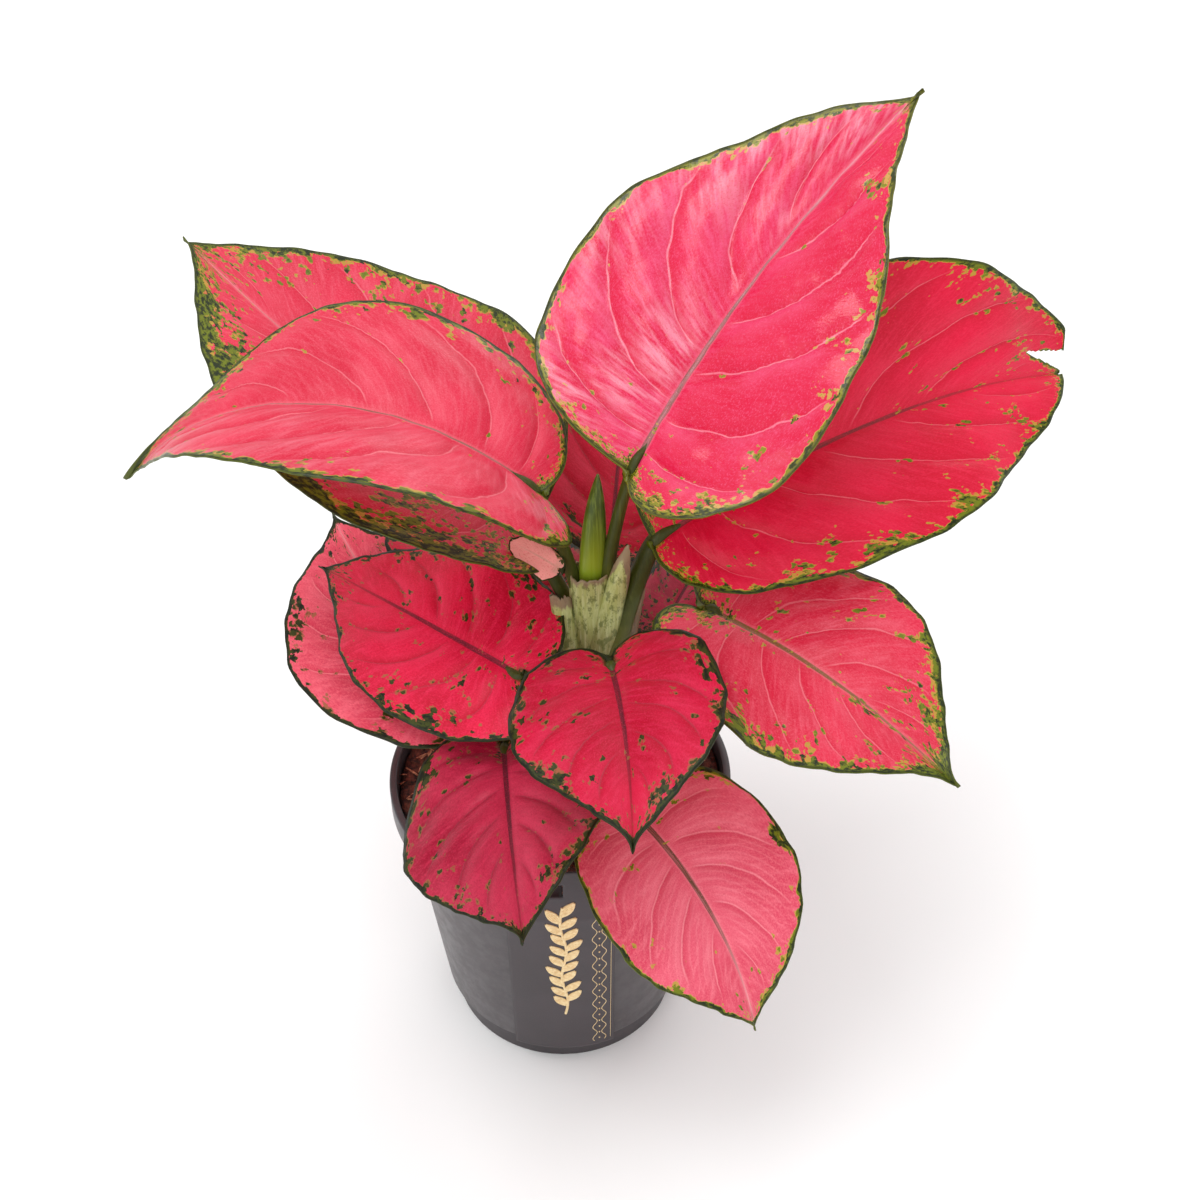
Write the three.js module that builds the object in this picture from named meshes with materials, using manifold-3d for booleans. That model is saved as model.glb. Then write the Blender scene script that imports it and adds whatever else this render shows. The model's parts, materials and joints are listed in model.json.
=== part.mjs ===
// A potted red joy Chinese evergreen: nursery pot, card label, soil, three leafy stems, a rolled new leaf
// and thirteen heart-shaped blades. Lengths are in millimetres, angles in degrees, +Z is up, and the
// origin is the middle of the pot's base. The label faces -Y.
import * as THREE from "three";
import { mergeVertices } from "three/addons/utils/BufferGeometryUtils.js";
import Module from "manifold-3d";

const wasm = await Module();
wasm.setup();

const FIT = 0.3; // clearance between neighbouring pieces

// Pot
const RIM_R = 60;
const RIM_Z = 110;
const LIP_H = 9;
const LIP_W = 4.2;
const WALL = 1.8;
const WALL_TOP_R = 55.5;
const WALL_BOTTOM_R = 45;
const WALL_BOTTOM_Z = 9;
const FOOT_R = 41.2;
const FOOT_DRAFT = 0.8; // how much the foot widens up to the wall's bottom
const FLOOR = 3;
const STEP = 2; // height of the sloped steps inside the pot
const LIP_EDGE = 0.8; // bevels of the lip's outer edges
const LIP_INNER_EDGE = 0.6;
const POT_SIDES = 56;

// Label: a card bent round the front of the wall. It hangs from the rim by a tongue cut from its slot.
const LABEL_T = 0.8;
const LABEL_Z = [11, 125];
const LABEL_X = [-17, 19];
const LABEL_FOOT_GAP = 1; // from the wall to the card's lower edge
const LABEL_SIDES = 96;
const SLOT = { angle: -91, z: 115.5, width: 6, height: 6 };
const TONGUE_W = 5;
const TONGUE_DROP = 7;

// Soil
const SOIL_Z = 98;
const SOIL_BUMP = 1.6;
const SOIL_RINGS = [46, 37, 28, 19, 10]; // radii of the points that the bumps move
const HOLE_H = 50;

// The three stems stand in plain holes in the soil.
const STEM_FOOT_Z = 62;
const STEMS = {
  stem_main: { foot: [12, 4], top: [12, 1, 164], radius: [8, 6] },
  stem_left: { foot: [-17, -6], top: [-14, -8, 130], radius: [5, 4] },
  stem_right: { foot: [25, -14], top: [22, -14, 142], radius: [5, 4] },
};

const BLADE_T = 0.9; // blade thickness
const RIB_T = 1.3; // how far the midrib stands out below at the joint
const ROWS = 13; // side veins on each half, from joint to tip
const COLUMNS = [0, 0.1, 0.32, 0.55, 0.78, 1]; // shares of the way from midrib to margin
const LOBE_SHARE = 0.42; // share of a margin that runs round the lobe to the widest place

// Each blade: joint is where its stalk meets it. heading turns its midrib from +X toward +Y, rise lifts
// it, droop lowers it and sweep turns it toward the tip. half holds the half widths left and right of
// the midrib. roll tips the blade sideways, twist adds to that toward the tip. lobe and tip shape the
// outline as shares of the length. fold lifts both halves from the midrib, at the joint and at the tip,
// and curl bends them back down. wave is the height of the waves along the margins, how many there are
// from joint to tip, and where they start.
const LEAVES = {
  leaf_01: {
    joint: [23, -3, 239], stem: "stem_main", length: 145, half: [52, 52],
    heading: 51, rise: 39.5, droop: 3, sweep: -23, roll: 11, twist: -3,
    widest: 0.32, lobe: [0, 0.07], tip: [0.08, 0.08], fold: [20, 20], curl: [11, 16], wave: [2, 2.5, 40],
  },
  leaf_02: {
    joint: [-4, -2, 231], stem: "stem_main", length: 159, half: [44, 45],
    heading: 164, rise: 37, droop: 90, sweep: 4, roll: 0, twist: -10,
    widest: 0.38, lobe: [0.1, 0.02], tip: [0.11, 0.3], fold: [17, 15], curl: [8, 11], wave: [1.5, 2, 0],
  },
  leaf_03: {
    joint: [-8, 12, 203], stem: "stem_main", length: 163, half: [47, 57],
    heading: 146.5, rise: 21, droop: 0, sweep: -8, roll: -2, twist: -12,
    widest: 0.37, lobe: [0.08, -0.02], tip: [0.08, 0.04], fold: [23, 4], curl: [10, 8], wave: [1.5, 2, 90],
  },
  leaf_04: {
    joint: [31, 3, 208], stem: "stem_main", length: 166, half: [51, 42],
    heading: 20, rise: 29, droop: 47, sweep: 16, roll: 42, twist: 15,
    widest: 0.45, lobe: [0, 0.02], tip: [-0.12, 0], fold: [18, 18], curl: [8, 10], wave: [2, 3, 0],
  },
  leaf_05: {
    joint: [18, 27, 181], stem: "stem_main", length: 98, half: [35, 23],
    heading: 89, rise: 25, droop: 2, sweep: -15, roll: 29, twist: 0,
    widest: 0.36, lobe: [0, 0.02], tip: [0.12, 0.12], fold: [6, 6], curl: [10, 10], wave: [1.5, 2, 0],
  },
  leaf_06: {
    joint: [-11, -24, 176], stem: "stem_main", length: 104, half: [32, 34],
    heading: 140, rise: -1, droop: 12, sweep: -8, roll: -28, twist: 0,
    widest: 0.35, lobe: [0.14, 0.08], tip: [0.12, 0.12], fold: [1, 1], curl: [13, 14], wave: [1, 2, 60],
  },
  leaf_07: {
    joint: [-28, -3, 148], stem: "stem_left", length: 107, half: [42, 38],
    heading: 134, rise: 6, droop: 1, sweep: -21, roll: -7, twist: 2,
    widest: 0.38, lobe: [0.11, 0.11], tip: [0.12, 0.12], fold: [4, 4], curl: [12, 10], wave: [1.2, 2, 0],
  },
  leaf_08: {
    joint: [17, -29, 186], stem: "stem_right", length: 77, half: [32, 34],
    heading: -81, rise: 10, droop: 23, sweep: -9, roll: 11, twist: 1,
    widest: 0.39, lobe: [0.13, 0.11], tip: [0.13, 0.13], fold: [12, 12], curl: [9, 10], wave: [1, 2, 30],
  },
  leaf_09: {
    joint: [-17, -30, 152], stem: "stem_left", length: 86, half: [32, 35],
    heading: -85, rise: 2, droop: -3, sweep: 3, roll: 16, twist: 8,
    widest: 0.4, lobe: [0.11, 0.12], tip: [0.13, 0.13], fold: [5, 5], curl: [9, 10], wave: [1, 2, 0],
  },
  leaf_10: {
    joint: [26, -44, 133], stem: "stem_right", length: 82, half: [34, 34],
    heading: -49, rise: -8, droop: 65, sweep: -3, roll: 10, twist: 3,
    widest: 0.35, lobe: [0.1, 0.12], tip: [0.09, 0.09], fold: [13, 13], curl: [10, 10], wave: [1, 2, 0],
  },
  leaf_11: {
    joint: [48, -4, 187], stem: "stem_right", length: 98, half: [38, 37],
    heading: -39, rise: 3, droop: 29, sweep: -2, roll: 10, twist: 4,
    widest: 0.43, lobe: [0.11, 0.11], tip: [0.11, 0.11], fold: [11, 11], curl: [9, 10], wave: [1.2, 2, 90],
  },
  leaf_12: {
    joint: [31, 10, 159], stem: "stem_main", length: 105, half: [28, 32],
    heading: 54, rise: 26, droop: 15, sweep: 22, roll: -31, twist: 0,
    widest: 0.36, lobe: [0, 0.04], tip: [0.12, 0.12], fold: [2, 2], curl: [10, 10], wave: [1.5, 2, 0],
  },
  leaf_13: {
    joint: [-12, 26, 164], stem: "stem_main", length: 96, half: [33, 33],
    heading: 118, rise: 4, droop: 25, sweep: 0, roll: 0, twist: 0,
    widest: 0.37, lobe: [0.11, 0.11], tip: [0.12, 0.12], fold: [12, 12], curl: [10, 10], wave: [1.5, 2, 0],
  },
};

const STALK_R = [3.2, 2.1]; // leaf stalk radius at the stem and at the blade
const STALK_ARCH = 0.1; // arch of a stalk as a share of its climb
const STALK_ROOT = 8; // depth of a stalk's root below its stem's top
const STALK_GAP = 0.6; // from the upper rim of a stalk's end to the rib at the joint

// The sheath of the newest stalk goes on up from the main stem, and the spear stands in it.
const SHEATH = { path: [[11.5, 1, 150], [10.8, 0, 176], [10.6, 0, 199]], radius: [5.6, 6.2] };
const SPEAR = {
  path: [[10.8, 0, 190], [11.6, 0, 207], [12.4, 0, 222], [13.3, 0, 235.5]],
  radius: 4.4, tip: 0.4, bluntness: 3.2,
};

const rad = THREE.MathUtils.degToRad;
const mix = THREE.MathUtils.lerp;

function bezier(points, t) {
  const weights = [(1 - t) ** 3, 3 * (1 - t) ** 2 * t, 3 * (1 - t) * t ** 2, t ** 3];
  return [0, 1].map((axis) => points.reduce((sum, point, i) => sum + weights[i] * point[axis], 0));
}

// A solid that can be joined and cut, from points and the triangles between them.
function solidFrom(positions, triangles) {
  const vertProperties = new Float32Array(positions);
  const triVerts = new Uint32Array(triangles);
  return new wasm.Manifold(new wasm.Mesh({ numProp: 3, vertProperties, triVerts }));
}

// The same from a three.js geometry.
function solid(geometry) {
  geometry.deleteAttribute("normal");
  geometry.deleteAttribute("uv");
  const merged = mergeVertices(geometry, 1e-4);
  return solidFrom(merged.attributes.position.array, merged.index.array);
}

// A profile of [radius, height] pairs turned about the Z axis.
function turned(profile, sides = POT_SIDES) {
  const points = profile.map(([radius, z]) => new THREE.Vector2(radius, z));
  return new THREE.LatheGeometry(points, sides).rotateX(Math.PI / 2);
}

// Frame of the midrib at a share s of its length: the tangent, the direction to the left and the normal.
function ribFrame(leaf, s) {
  const c = THREE.MathUtils.clamp(s, 0, 1);
  const pitch = rad(leaf.rise - leaf.droop * c);
  const yaw = rad(leaf.heading + leaf.sweep * c);
  const roll = rad(leaf.roll + leaf.twist * c);
  const along = new THREE.Vector3(Math.cos(yaw), Math.sin(yaw), 0).multiplyScalar(Math.cos(pitch));
  along.z = Math.sin(pitch);
  const level = new THREE.Vector3(-Math.sin(yaw), Math.cos(yaw), 0);
  const up = new THREE.Vector3().crossVectors(along, level);
  const left = level.clone().multiplyScalar(Math.cos(roll)).addScaledVector(up, Math.sin(roll));
  const normal = up.clone().multiplyScalar(Math.cos(roll)).addScaledVector(level, -Math.sin(roll));
  return { along, left, normal };
}

// Point on the midrib at a share s of its length, added up in short steps.
function ribPoint(leaf, s) {
  const steps = 40;
  const point = new THREE.Vector3(...leaf.joint);
  for (let i = 0; i < steps; i++) {
    const share = THREE.MathUtils.clamp(s * steps - i, 0, 1);
    point.addScaledVector(ribFrame(leaf, (i + 0.5) / steps).along, (share * leaf.length) / steps);
  }
  return point.addScaledVector(ribFrame(leaf, 0).along, Math.min(s, 0) * leaf.length);
}

// Flat outline of one half, from the joint round the lobe to the tip. x runs along the midrib.
function margin(leaf, side, t) {
  const { length, widest } = leaf;
  const half = leaf.half[side];
  const back = leaf.lobe[side] * length;
  const broad = [widest * length, half];
  const lobe = [[0, 0], [-2 * back, 0.12 * half], [-0.9 * back, half], broad];
  const tip = (1 - leaf.tip[side]) * length;
  const front = [broad, [((1 + widest) / 2) * length, half], [tip, 0], [length, 0]];
  if (t < LOBE_SHARE) return bezier(lobe, t / LOBE_SHARE);
  return bezier(front, (t - LOBE_SHARE) / (1 - LOBE_SHARE));
}

// Middle of the blade's thickness at row t and share q of the way from midrib to margin, with its normal.
function bladePoint(leaf, side, t, q) {
  const [edgeX, edgeY] = margin(leaf, side, t);
  const x = mix(leaf.length * t ** 1.8, edgeX, q ** 1.25);
  const y = edgeY * q;
  const sign = side === 0 ? 1 : -1;
  const s = x / leaf.length;
  const { left, normal } = ribFrame(leaf, s);
  const bend = rad(leaf.curl[side]) / leaf.half[side];
  const fold = rad(mix(leaf.fold[0], leaf.fold[1], THREE.MathUtils.clamp(s, 0, 1)));
  const across = (Math.sin(fold) - Math.sin(fold - bend * y)) / bend;
  const [height, count, start] = leaf.wave;
  const wave = height * q ** 2 * Math.sin(rad(360 * count * s + start + side * 120));
  const lift = (Math.cos(fold - bend * y) - Math.cos(fold)) / bend + wave;
  const point = ribPoint(leaf, s).addScaledVector(left, sign * across).addScaledVector(normal, lift);
  const slope = q === 0 ? 0 : fold - bend * y;
  const out = normal.clone().multiplyScalar(Math.cos(slope)).addScaledVector(left, -sign * Math.sin(slope));
  return { point, out, s };
}

// The blade as one closed thin body. Both faces are split into the same triangles.
function blade(leaf) {
  const points = [];
  const faces = [];
  const add = (side, t, q) => {
    const { point, out, s } = bladePoint(leaf, side, t, q);
    const rib = q < 0.05 ? RIB_T * (1 - THREE.MathUtils.clamp(s, 0, 1)) : 0;
    points.push(point.clone().addScaledVector(out, BLADE_T / 2));
    points.push(point.clone().addScaledVector(out, -BLADE_T / 2 - rib));
    return points.length - 2; // index of the upper point; the lower one follows it
  };
  const face = (a, b, c) => faces.push(a, b, c, a + 1, c + 1, b + 1);
  const wall = (a, b) => faces.push(a, b, b + 1, a, b + 1, a + 1);
  const joint = add(0, 0, 0);
  const tip = add(0, 1, 0);
  const rib = [];
  for (let row = 1; row < ROWS; row++) rib.push(add(0, row / ROWS, 0));
  for (const side of [0, 1]) {
    const turn = side === 0 ? face : (a, b, c) => face(a, c, b);
    const row = (t) => COLUMNS.slice(1).map((q) => add(side, t, q));
    const rows = rib.map((start, i) => [start, ...row((i + 1) / ROWS)]);
    const last = COLUMNS.length - 1;
    for (let j = 0; j < last; j++) turn(joint, rows[0][j], rows[0][j + 1]);
    for (let i = 0; i + 1 < rows.length; i++) {
      for (let j = 0; j < last; j++) {
        turn(rows[i][j], rows[i + 1][j], rows[i + 1][j + 1]);
        turn(rows[i][j], rows[i + 1][j + 1], rows[i][j + 1]);
      }
    }
    for (let j = 0; j < last; j++) turn(rows.at(-1)[j], tip, rows.at(-1)[j + 1]);
    const edge = [joint, ...rows.map((each) => each[last]), tip];
    if (side === 1) edge.reverse();
    for (let i = 0; i + 1 < edge.length; i++) wall(edge[i], edge[i + 1]);
  }
  return solidFrom(points.flatMap((p) => p.toArray()), faces);
}

// A round bar along a smooth path. radiusAt gives its radius at a share of the way.
function bar(path, radiusAt, sides = 10, rings = 8) {
  const curve = new THREE.CatmullRomCurve3(path.map((p) => new THREE.Vector3(...p)), false, "centripetal");
  const points = [];
  const faces = [];
  for (let i = 0; i <= rings; i++) {
    const u = i / rings;
    const centre = curve.getPoint(u);
    const along = curve.getTangent(u);
    const across = new THREE.Vector3(0, 1, 0).cross(along).normalize();
    const beside = along.clone().cross(across);
    const radius = radiusAt(u);
    for (let j = 0; j < sides; j++) {
      const angle = (2 * Math.PI * j) / sides;
      const spoke = across.clone().multiplyScalar(Math.cos(angle)).addScaledVector(beside, Math.sin(angle));
      points.push(centre.clone().addScaledVector(spoke, radius));
    }
  }
  for (let i = 0; i < rings; i++) {
    for (let j = 0; j < sides; j++) {
      const [a, b] = [i * sides + j, i * sides + ((j + 1) % sides)];
      faces.push(a, b, b + sides, a, b + sides, a + sides);
    }
  }
  const top = rings * sides;
  for (let j = 1; j + 1 < sides; j++) faces.push(0, j + 1, j, top, top + j, top + j + 1);
  return solidFrom(points.flatMap((p) => p.toArray()), faces);
}

// The path of a leaf's stalk. It leaves its stem's top, and the rim of its end lies close under the rib
// at the blade's joint.
function stalkPath(leaf) {
  const { normal } = ribFrame(leaf, 0);
  const [x, y, z] = STEMS[leaf.stem].top;
  const root = new THREE.Vector3(x, y, z - STALK_ROOT);
  const joint = new THREE.Vector3(...leaf.joint);
  const arch = root.clone().lerp(joint, 0.5);
  arch.z += STALK_ARCH * (joint.z - root.z);
  const direction = joint.clone().sub(arch).normalize();
  const rim = normal.clone().projectOnPlane(direction).setLength(STALK_R[1]);
  const end = joint.addScaledVector(normal, -BLADE_T / 2 - RIB_T - STALK_GAP).sub(rim);
  return [root, arch, end].map((point) => point.toArray());
}

const taper = ([first, last]) => (u) => mix(first, last, u);

// A stem with the stalks of its leaves grown onto it as one body.
function stem(name) {
  const { foot, top, radius } = STEMS[name];
  let body = bar([[...foot, STEM_FOOT_Z], [...foot, SOIL_Z + 8], top], taper(radius), 16);
  for (const leaf of Object.values(LEAVES).filter((each) => each.stem === name)) {
    body = body.add(bar(stalkPath(leaf), taper(STALK_R)));
  }
  return body;
}

function wallRadius(z) {
  return mix(WALL_BOTTOM_R, WALL_TOP_R, (z - WALL_BOTTOM_Z) / (RIM_Z - LIP_H - WALL_BOTTOM_Z));
}

function pot() {
  const underLip = RIM_Z - LIP_H;
  const profile = [
    [0, 0], [FOOT_R, 0], [FOOT_R + FOOT_DRAFT, WALL_BOTTOM_Z], [WALL_BOTTOM_R, WALL_BOTTOM_Z],
    [wallRadius(underLip), underLip], [RIM_R - LIP_INNER_EDGE, underLip],
    [RIM_R, underLip + LIP_EDGE], [RIM_R, RIM_Z - LIP_EDGE], [RIM_R - LIP_EDGE, RIM_Z],
    [RIM_R - LIP_W + LIP_INNER_EDGE, RIM_Z], [RIM_R - LIP_W, RIM_Z - LIP_INNER_EDGE],
    [WALL_TOP_R - WALL, underLip - STEP], [WALL_BOTTOM_R - WALL, WALL_BOTTOM_Z + STEP],
    [FOOT_R - WALL, WALL_BOTTOM_Z - STEP / 2], [FOOT_R - WALL, FLOOR], [0, FLOOR],
  ];
  return solid(turned(profile));
}

// The soil fills the pot. Its top is lumpy, and each stem has its own hole.
function soil() {
  const gap = WALL + FIT;
  const body = turned([
    [0, FLOOR + FIT], [FOOT_R - gap, FLOOR + FIT], [FOOT_R - gap, WALL_BOTTOM_Z],
    [WALL_BOTTOM_R - gap, WALL_BOTTOM_Z + STEP + 1], [wallRadius(SOIL_Z) - gap - FIT, SOIL_Z - 1],
    ...SOIL_RINGS.map((radius) => [radius, SOIL_Z + 1]), [0, SOIL_Z + 1.5],
  ]);
  const { position } = body.attributes;
  for (let i = 0; i < position.count; i++) {
    const [x, y, z] = [position.getX(i), position.getY(i), position.getZ(i)];
    if (z > SOIL_Z - 0.5) position.setZ(i, z + SOIL_BUMP * Math.sin(x * 0.31) * Math.cos(y * 0.27));
  }
  return Object.values(STEMS).reduce((rest, { foot, radius }) => {
    const hole = new THREE.CylinderGeometry(radius[0] + 2 * FIT, radius[0] + 2 * FIT, HOLE_H, 16);
    hole.rotateX(Math.PI / 2).translate(...foot, STEM_FOOT_Z - FIT + HOLE_H / 2);
    return rest.subtract(solid(hole));
  }, solid(body));
}

// The card leans from the wall's foot to the lip's edge and stands up past it. Its tongue goes back
// over the rim and down inside.
function label() {
  const [low, high] = LABEL_Z;
  const [left, right] = LABEL_X;
  const foot = wallRadius(low) + LABEL_FOOT_GAP;
  const inside = [[foot, low], [RIM_R + 2 * FIT, RIM_Z - LIP_H], [RIM_R + 2 * FIT, high]];
  const outside = inside.map(([r, z]) => [r + LABEL_T, z]);
  const shell = turned([...outside, ...inside.toReversed(), outside[0]], LABEL_SIDES);
  const strip = new THREE.BoxGeometry(right - left, 2 * RIM_R, 4 * RIM_Z);
  strip.translate((left + right) / 2, -RIM_R, 0);
  const turn = rad(SLOT.angle);
  const slot = new THREE.BoxGeometry(RIM_R, SLOT.width, SLOT.height);
  slot.translate(RIM_R, 0, SLOT.z).rotateZ(turn);
  const front = RIM_R + 2 * FIT + LABEL_T;
  const back = WALL_TOP_R - WALL - FIT - LABEL_T;
  const top = RIM_Z + FIT + LABEL_T;
  const over = new THREE.BoxGeometry(front - back, TONGUE_W, LABEL_T);
  over.translate((front + back) / 2, 0, top - LABEL_T / 2).rotateZ(turn);
  const down = new THREE.BoxGeometry(LABEL_T, TONGUE_W, TONGUE_DROP);
  down.translate(back + LABEL_T / 2, 0, top - TONGUE_DROP / 2).rotateZ(turn);
  const card = solid(shell).intersect(solid(strip)).subtract(solid(slot));
  return card.add(solid(over)).add(solid(down));
}

// The rolled new leaf, or with some room around it the hollow that it stands in.
function spear(room = 0) {
  const [[x, y, z], ...rest] = SPEAR.path;
  const radiusAt = (u) => mix(SPEAR.radius, SPEAR.tip, u ** SPEAR.bluntness) + room;
  return bar([[x, y, z - room], ...rest], radiusAt, 12, 10);
}

function mainStem() {
  const sheath = bar(SHEATH.path, taper(SHEATH.radius), 16, 6);
  return stem("stem_main").add(sheath).subtract(spear(FIT + 0.1));
}

const COLOURS = {
  pot: "#3a3738", label: "#332f31", soil: "#3b2218", stem: "#6f8048", spear: "#7d9440",
  blade: "#d8435c", paleBlade: "#dd7d86",
};
const PALE = ["leaf_07", "leaf_10"];

function piece(name, solid, colour, roughness) {
  const { vertProperties, triVerts } = solid.getMesh();
  const geometry = new THREE.BufferGeometry();
  geometry.setAttribute("position", new THREE.BufferAttribute(new Float32Array(vertProperties), 3));
  geometry.setIndex(new THREE.BufferAttribute(new Uint32Array(triVerts), 1));
  geometry.computeVertexNormals();
  const mesh = new THREE.Mesh(geometry, new THREE.MeshStandardMaterial({ color: colour, roughness }));
  mesh.name = name;
  return mesh;
}

const plant = new THREE.Group();
plant.add(piece("pot", pot(), COLOURS.pot, 0.45));
plant.add(piece("label", label(), COLOURS.label, 0.5));
plant.add(piece("soil", soil(), COLOURS.soil, 0.95));
plant.add(piece("stem_main", mainStem(), COLOURS.stem, 0.5));
plant.add(piece("stem_left", stem("stem_left"), COLOURS.stem, 0.5));
plant.add(piece("stem_right", stem("stem_right"), COLOURS.stem, 0.5));
plant.add(piece("spear", spear(), COLOURS.spear, 0.45));
for (const [name, leaf] of Object.entries(LEAVES)) {
  plant.add(piece(name, blade(leaf), PALE.includes(name) ? COLOURS.paleBlade : COLOURS.blade, 0.4));
}

export default plant;
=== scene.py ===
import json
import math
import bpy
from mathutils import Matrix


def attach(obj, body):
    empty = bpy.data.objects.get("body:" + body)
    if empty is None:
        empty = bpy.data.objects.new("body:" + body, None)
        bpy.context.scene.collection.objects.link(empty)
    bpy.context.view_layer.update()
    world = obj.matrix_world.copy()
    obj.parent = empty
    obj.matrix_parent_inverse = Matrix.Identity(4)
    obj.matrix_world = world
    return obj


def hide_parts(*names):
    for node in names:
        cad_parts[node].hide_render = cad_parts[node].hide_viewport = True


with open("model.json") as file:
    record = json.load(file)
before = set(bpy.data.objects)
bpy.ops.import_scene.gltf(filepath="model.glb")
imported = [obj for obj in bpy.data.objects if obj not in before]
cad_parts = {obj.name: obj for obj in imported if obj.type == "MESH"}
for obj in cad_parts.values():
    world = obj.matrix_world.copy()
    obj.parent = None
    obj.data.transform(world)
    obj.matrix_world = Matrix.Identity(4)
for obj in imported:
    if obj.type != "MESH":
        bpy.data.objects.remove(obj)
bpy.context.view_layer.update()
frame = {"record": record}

# A potted red joy Chinese evergreen: pot, card, soil, stems, a rolled new leaf and thirteen blades.
# Sizes are in millimetres and angles in degrees, as in the part's own source, and MM turns them into metres.
from types import SimpleNamespace

import bpy
import numpy as np
from mathutils import Vector, noise

MM = 0.001

# Pot. The lip and the step of the foot are a little finer than in the part's source.
RIM_R = 60
RIM_Z = 110
LIP_H = 9
LIP_W = 2.6
LIP_DRAFT = 0.4  # how much the lip's inner face leans
WALL = 1.8
WALL_TOP_R = 55.5
WALL_BOTTOM_R = 45.2
WALL_BOTTOM_Z = 12
FOOT_R = 42
FOOT_DRAFT = 1.0  # how much the foot narrows up to the wall
FLOOR = 3
POT_SIDES = 144

# Card
CARD_T = 0.5
CARD_Z = (11, 125)
CARD_X = (-17, 19)
SLOT_X = (-4, 2)
SLOT_Z = (113, 119)
TONGUE_DROP = 7

# Printed ornament on the card
SPRIG_X = 1.8
SPRIG_Z = (38, 108)
SPRIG_SWAY = 0.9
SPRIG_STEP = 7.0  # from one pair of leaves to the next
SPRIG_LEAF = (8.0, 1.5)  # length, and half the breadth
BORDER_Z = (14, 108)
BORDER_X = (12.2, 13.8, 15.4, 17.8)  # a wave, a row of dots, a wave and a line
WAVE_LENGTH = 9
DOT_STEP = 4.5

# Soil
SOIL_Z = 98
SOIL_R = 52.6
SOIL_HEAP = 5.5  # how much the peat rises towards the rim
SOIL_SLOPE = (34, 53)  # radii between which it rises
SOIL_BRIM_R = 56.4  # radius of the edge of its top, inside the lip
SOIL_TOP_R = (54, 2)  # radii of the first and the last ring within that edge
SOIL_RINGS = 32
SOIL_SIDES = 120
SOIL_GAP = 0.3  # between the peat and the pot
CRUMB = (1.3, 1.0, 1.0)  # half its length, breadth and height
CRUMBS = 45000.0  # to a square metre
FIBRE = (3.6, 0.36, 0.34)
FIBRES = 36000.0

# Stems and the stalks of the leaves
STEM_FOOT_Z = 62
STEMS = {
    "stem_main": dict(foot=(12, 4), top=(12, 1, 164), radius=(8, 6)),
    "stem_left": dict(foot=(-17, -6), top=(-14, -8, 130), radius=(5, 4)),
    "stem_right": dict(foot=(25, -14), top=(22, -14, 142), radius=(5, 4)),
}
STALK_R = (3.2, 2.1)  # at the stem and at the blade
STALK_ARCH = 0.1  # as a share of its climb
STALK_ROOT = 8  # depth of its root below the stem's top
STALK_UNDER = {0.0: STALK_R[1], 0.07: 1.7, 0.2: 0.9}  # its depth under the midrib, at shares of the blade
STALK_CHANNEL = 0.35  # depth of the channel along it, as a share of its radius
STALK_SIDES = 24

# The sheath round the rolled leaf, and three thin dry ones beside it. arc is how far round its path each one
# goes, and facing the azimuth of its middle. point lowers its sides, ragged is the height of its torn teeth,
# and torn the share of its height where it turns brown.
HUSK_T = 0.5
HUSKS = {
    "husk_middle": dict(
        path=[(11.5, 1, 150), (10.8, 0, 176), (10.6, 0, 200)], radii=(5.6, 5.9, 6.5),
        arc=345, facing=205, point=0.0, ragged=0.05, seed=11, torn=0.99,
    ),
    "husk_right": dict(
        path=[(11.5, -2.5, 152), (16.4, -3.5, 182), (23.5, -3, 213)], radii=(4.6, 4.4, 2.2),
        arc=210, facing=250, point=0.3, ragged=0.02, seed=10, torn=0.92,
    ),
    "husk_left": dict(
        path=[(6.5, -2, 150), (3.5, -2.5, 172), (1.0, -3, 194)], radii=(4.6, 3.6, 3.2),
        arc=220, facing=255, point=0.1, ragged=0.05, seed=9, torn=0.92,
    ),
    "husk_rear": dict(
        path=[(20, 4, 150), (23.5, 3, 172), (28, 2, 197)], radii=(2.6, 2.8, 1.4),
        arc=200, facing=270, point=0.3, ragged=0.03, seed=9, torn=0.35,
    ),
}

# The rolled leaf
SPEAR_PATH = [(10.8, 0, 190), (11.6, 0, 207), (12.4, 0, 222), (13.3, 0, 236)]
SPEAR_R = 4.5
SPEAR_T = 0.35
SPEAR_TURNS = 1.45

# What all blades share
LOBE_SHARE = 0.42  # of a margin, the stretch that runs round the lobe to the widest place
VEINS = 8  # side veins on each half
VEIN_DRIFT = 0.12  # how far a side vein runs on toward the tip, as a share of the blade
VEIN_SHIFT = 0.4  # the right half's veins are nearer the joint by this share of their spacing
SHEET_STEP = 1.1  # spacing of a blade's points
RIB_T = 2.0  # thickness at the foot of the midrib
RIB_HALF = 1.6  # half the breadth of the raised rib
RIB_TAPER = 0.9  # share of its thickness that the rib has lost at the tip
BLADE_SHARE = 0.38  # thickness of the flat, as a share of RIB_T
EDGE_SHARE = 0.22  # the same at the margin
THIN_EDGE = 4  # breadth of the strip that thins to the margin
WALL_OFFSET = -0.3  # a little more of a blade's thickness lies below its middle surface
TEAR_EDGE = 1.3  # the green along a tear is narrower than along a margin by this much
GROOVE = 0.9  # depth of the midrib's groove
RIPPLE = 1.2  # height of the rippled margin
UNDER_GLOSS = 0.55  # roughness of the underside

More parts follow.
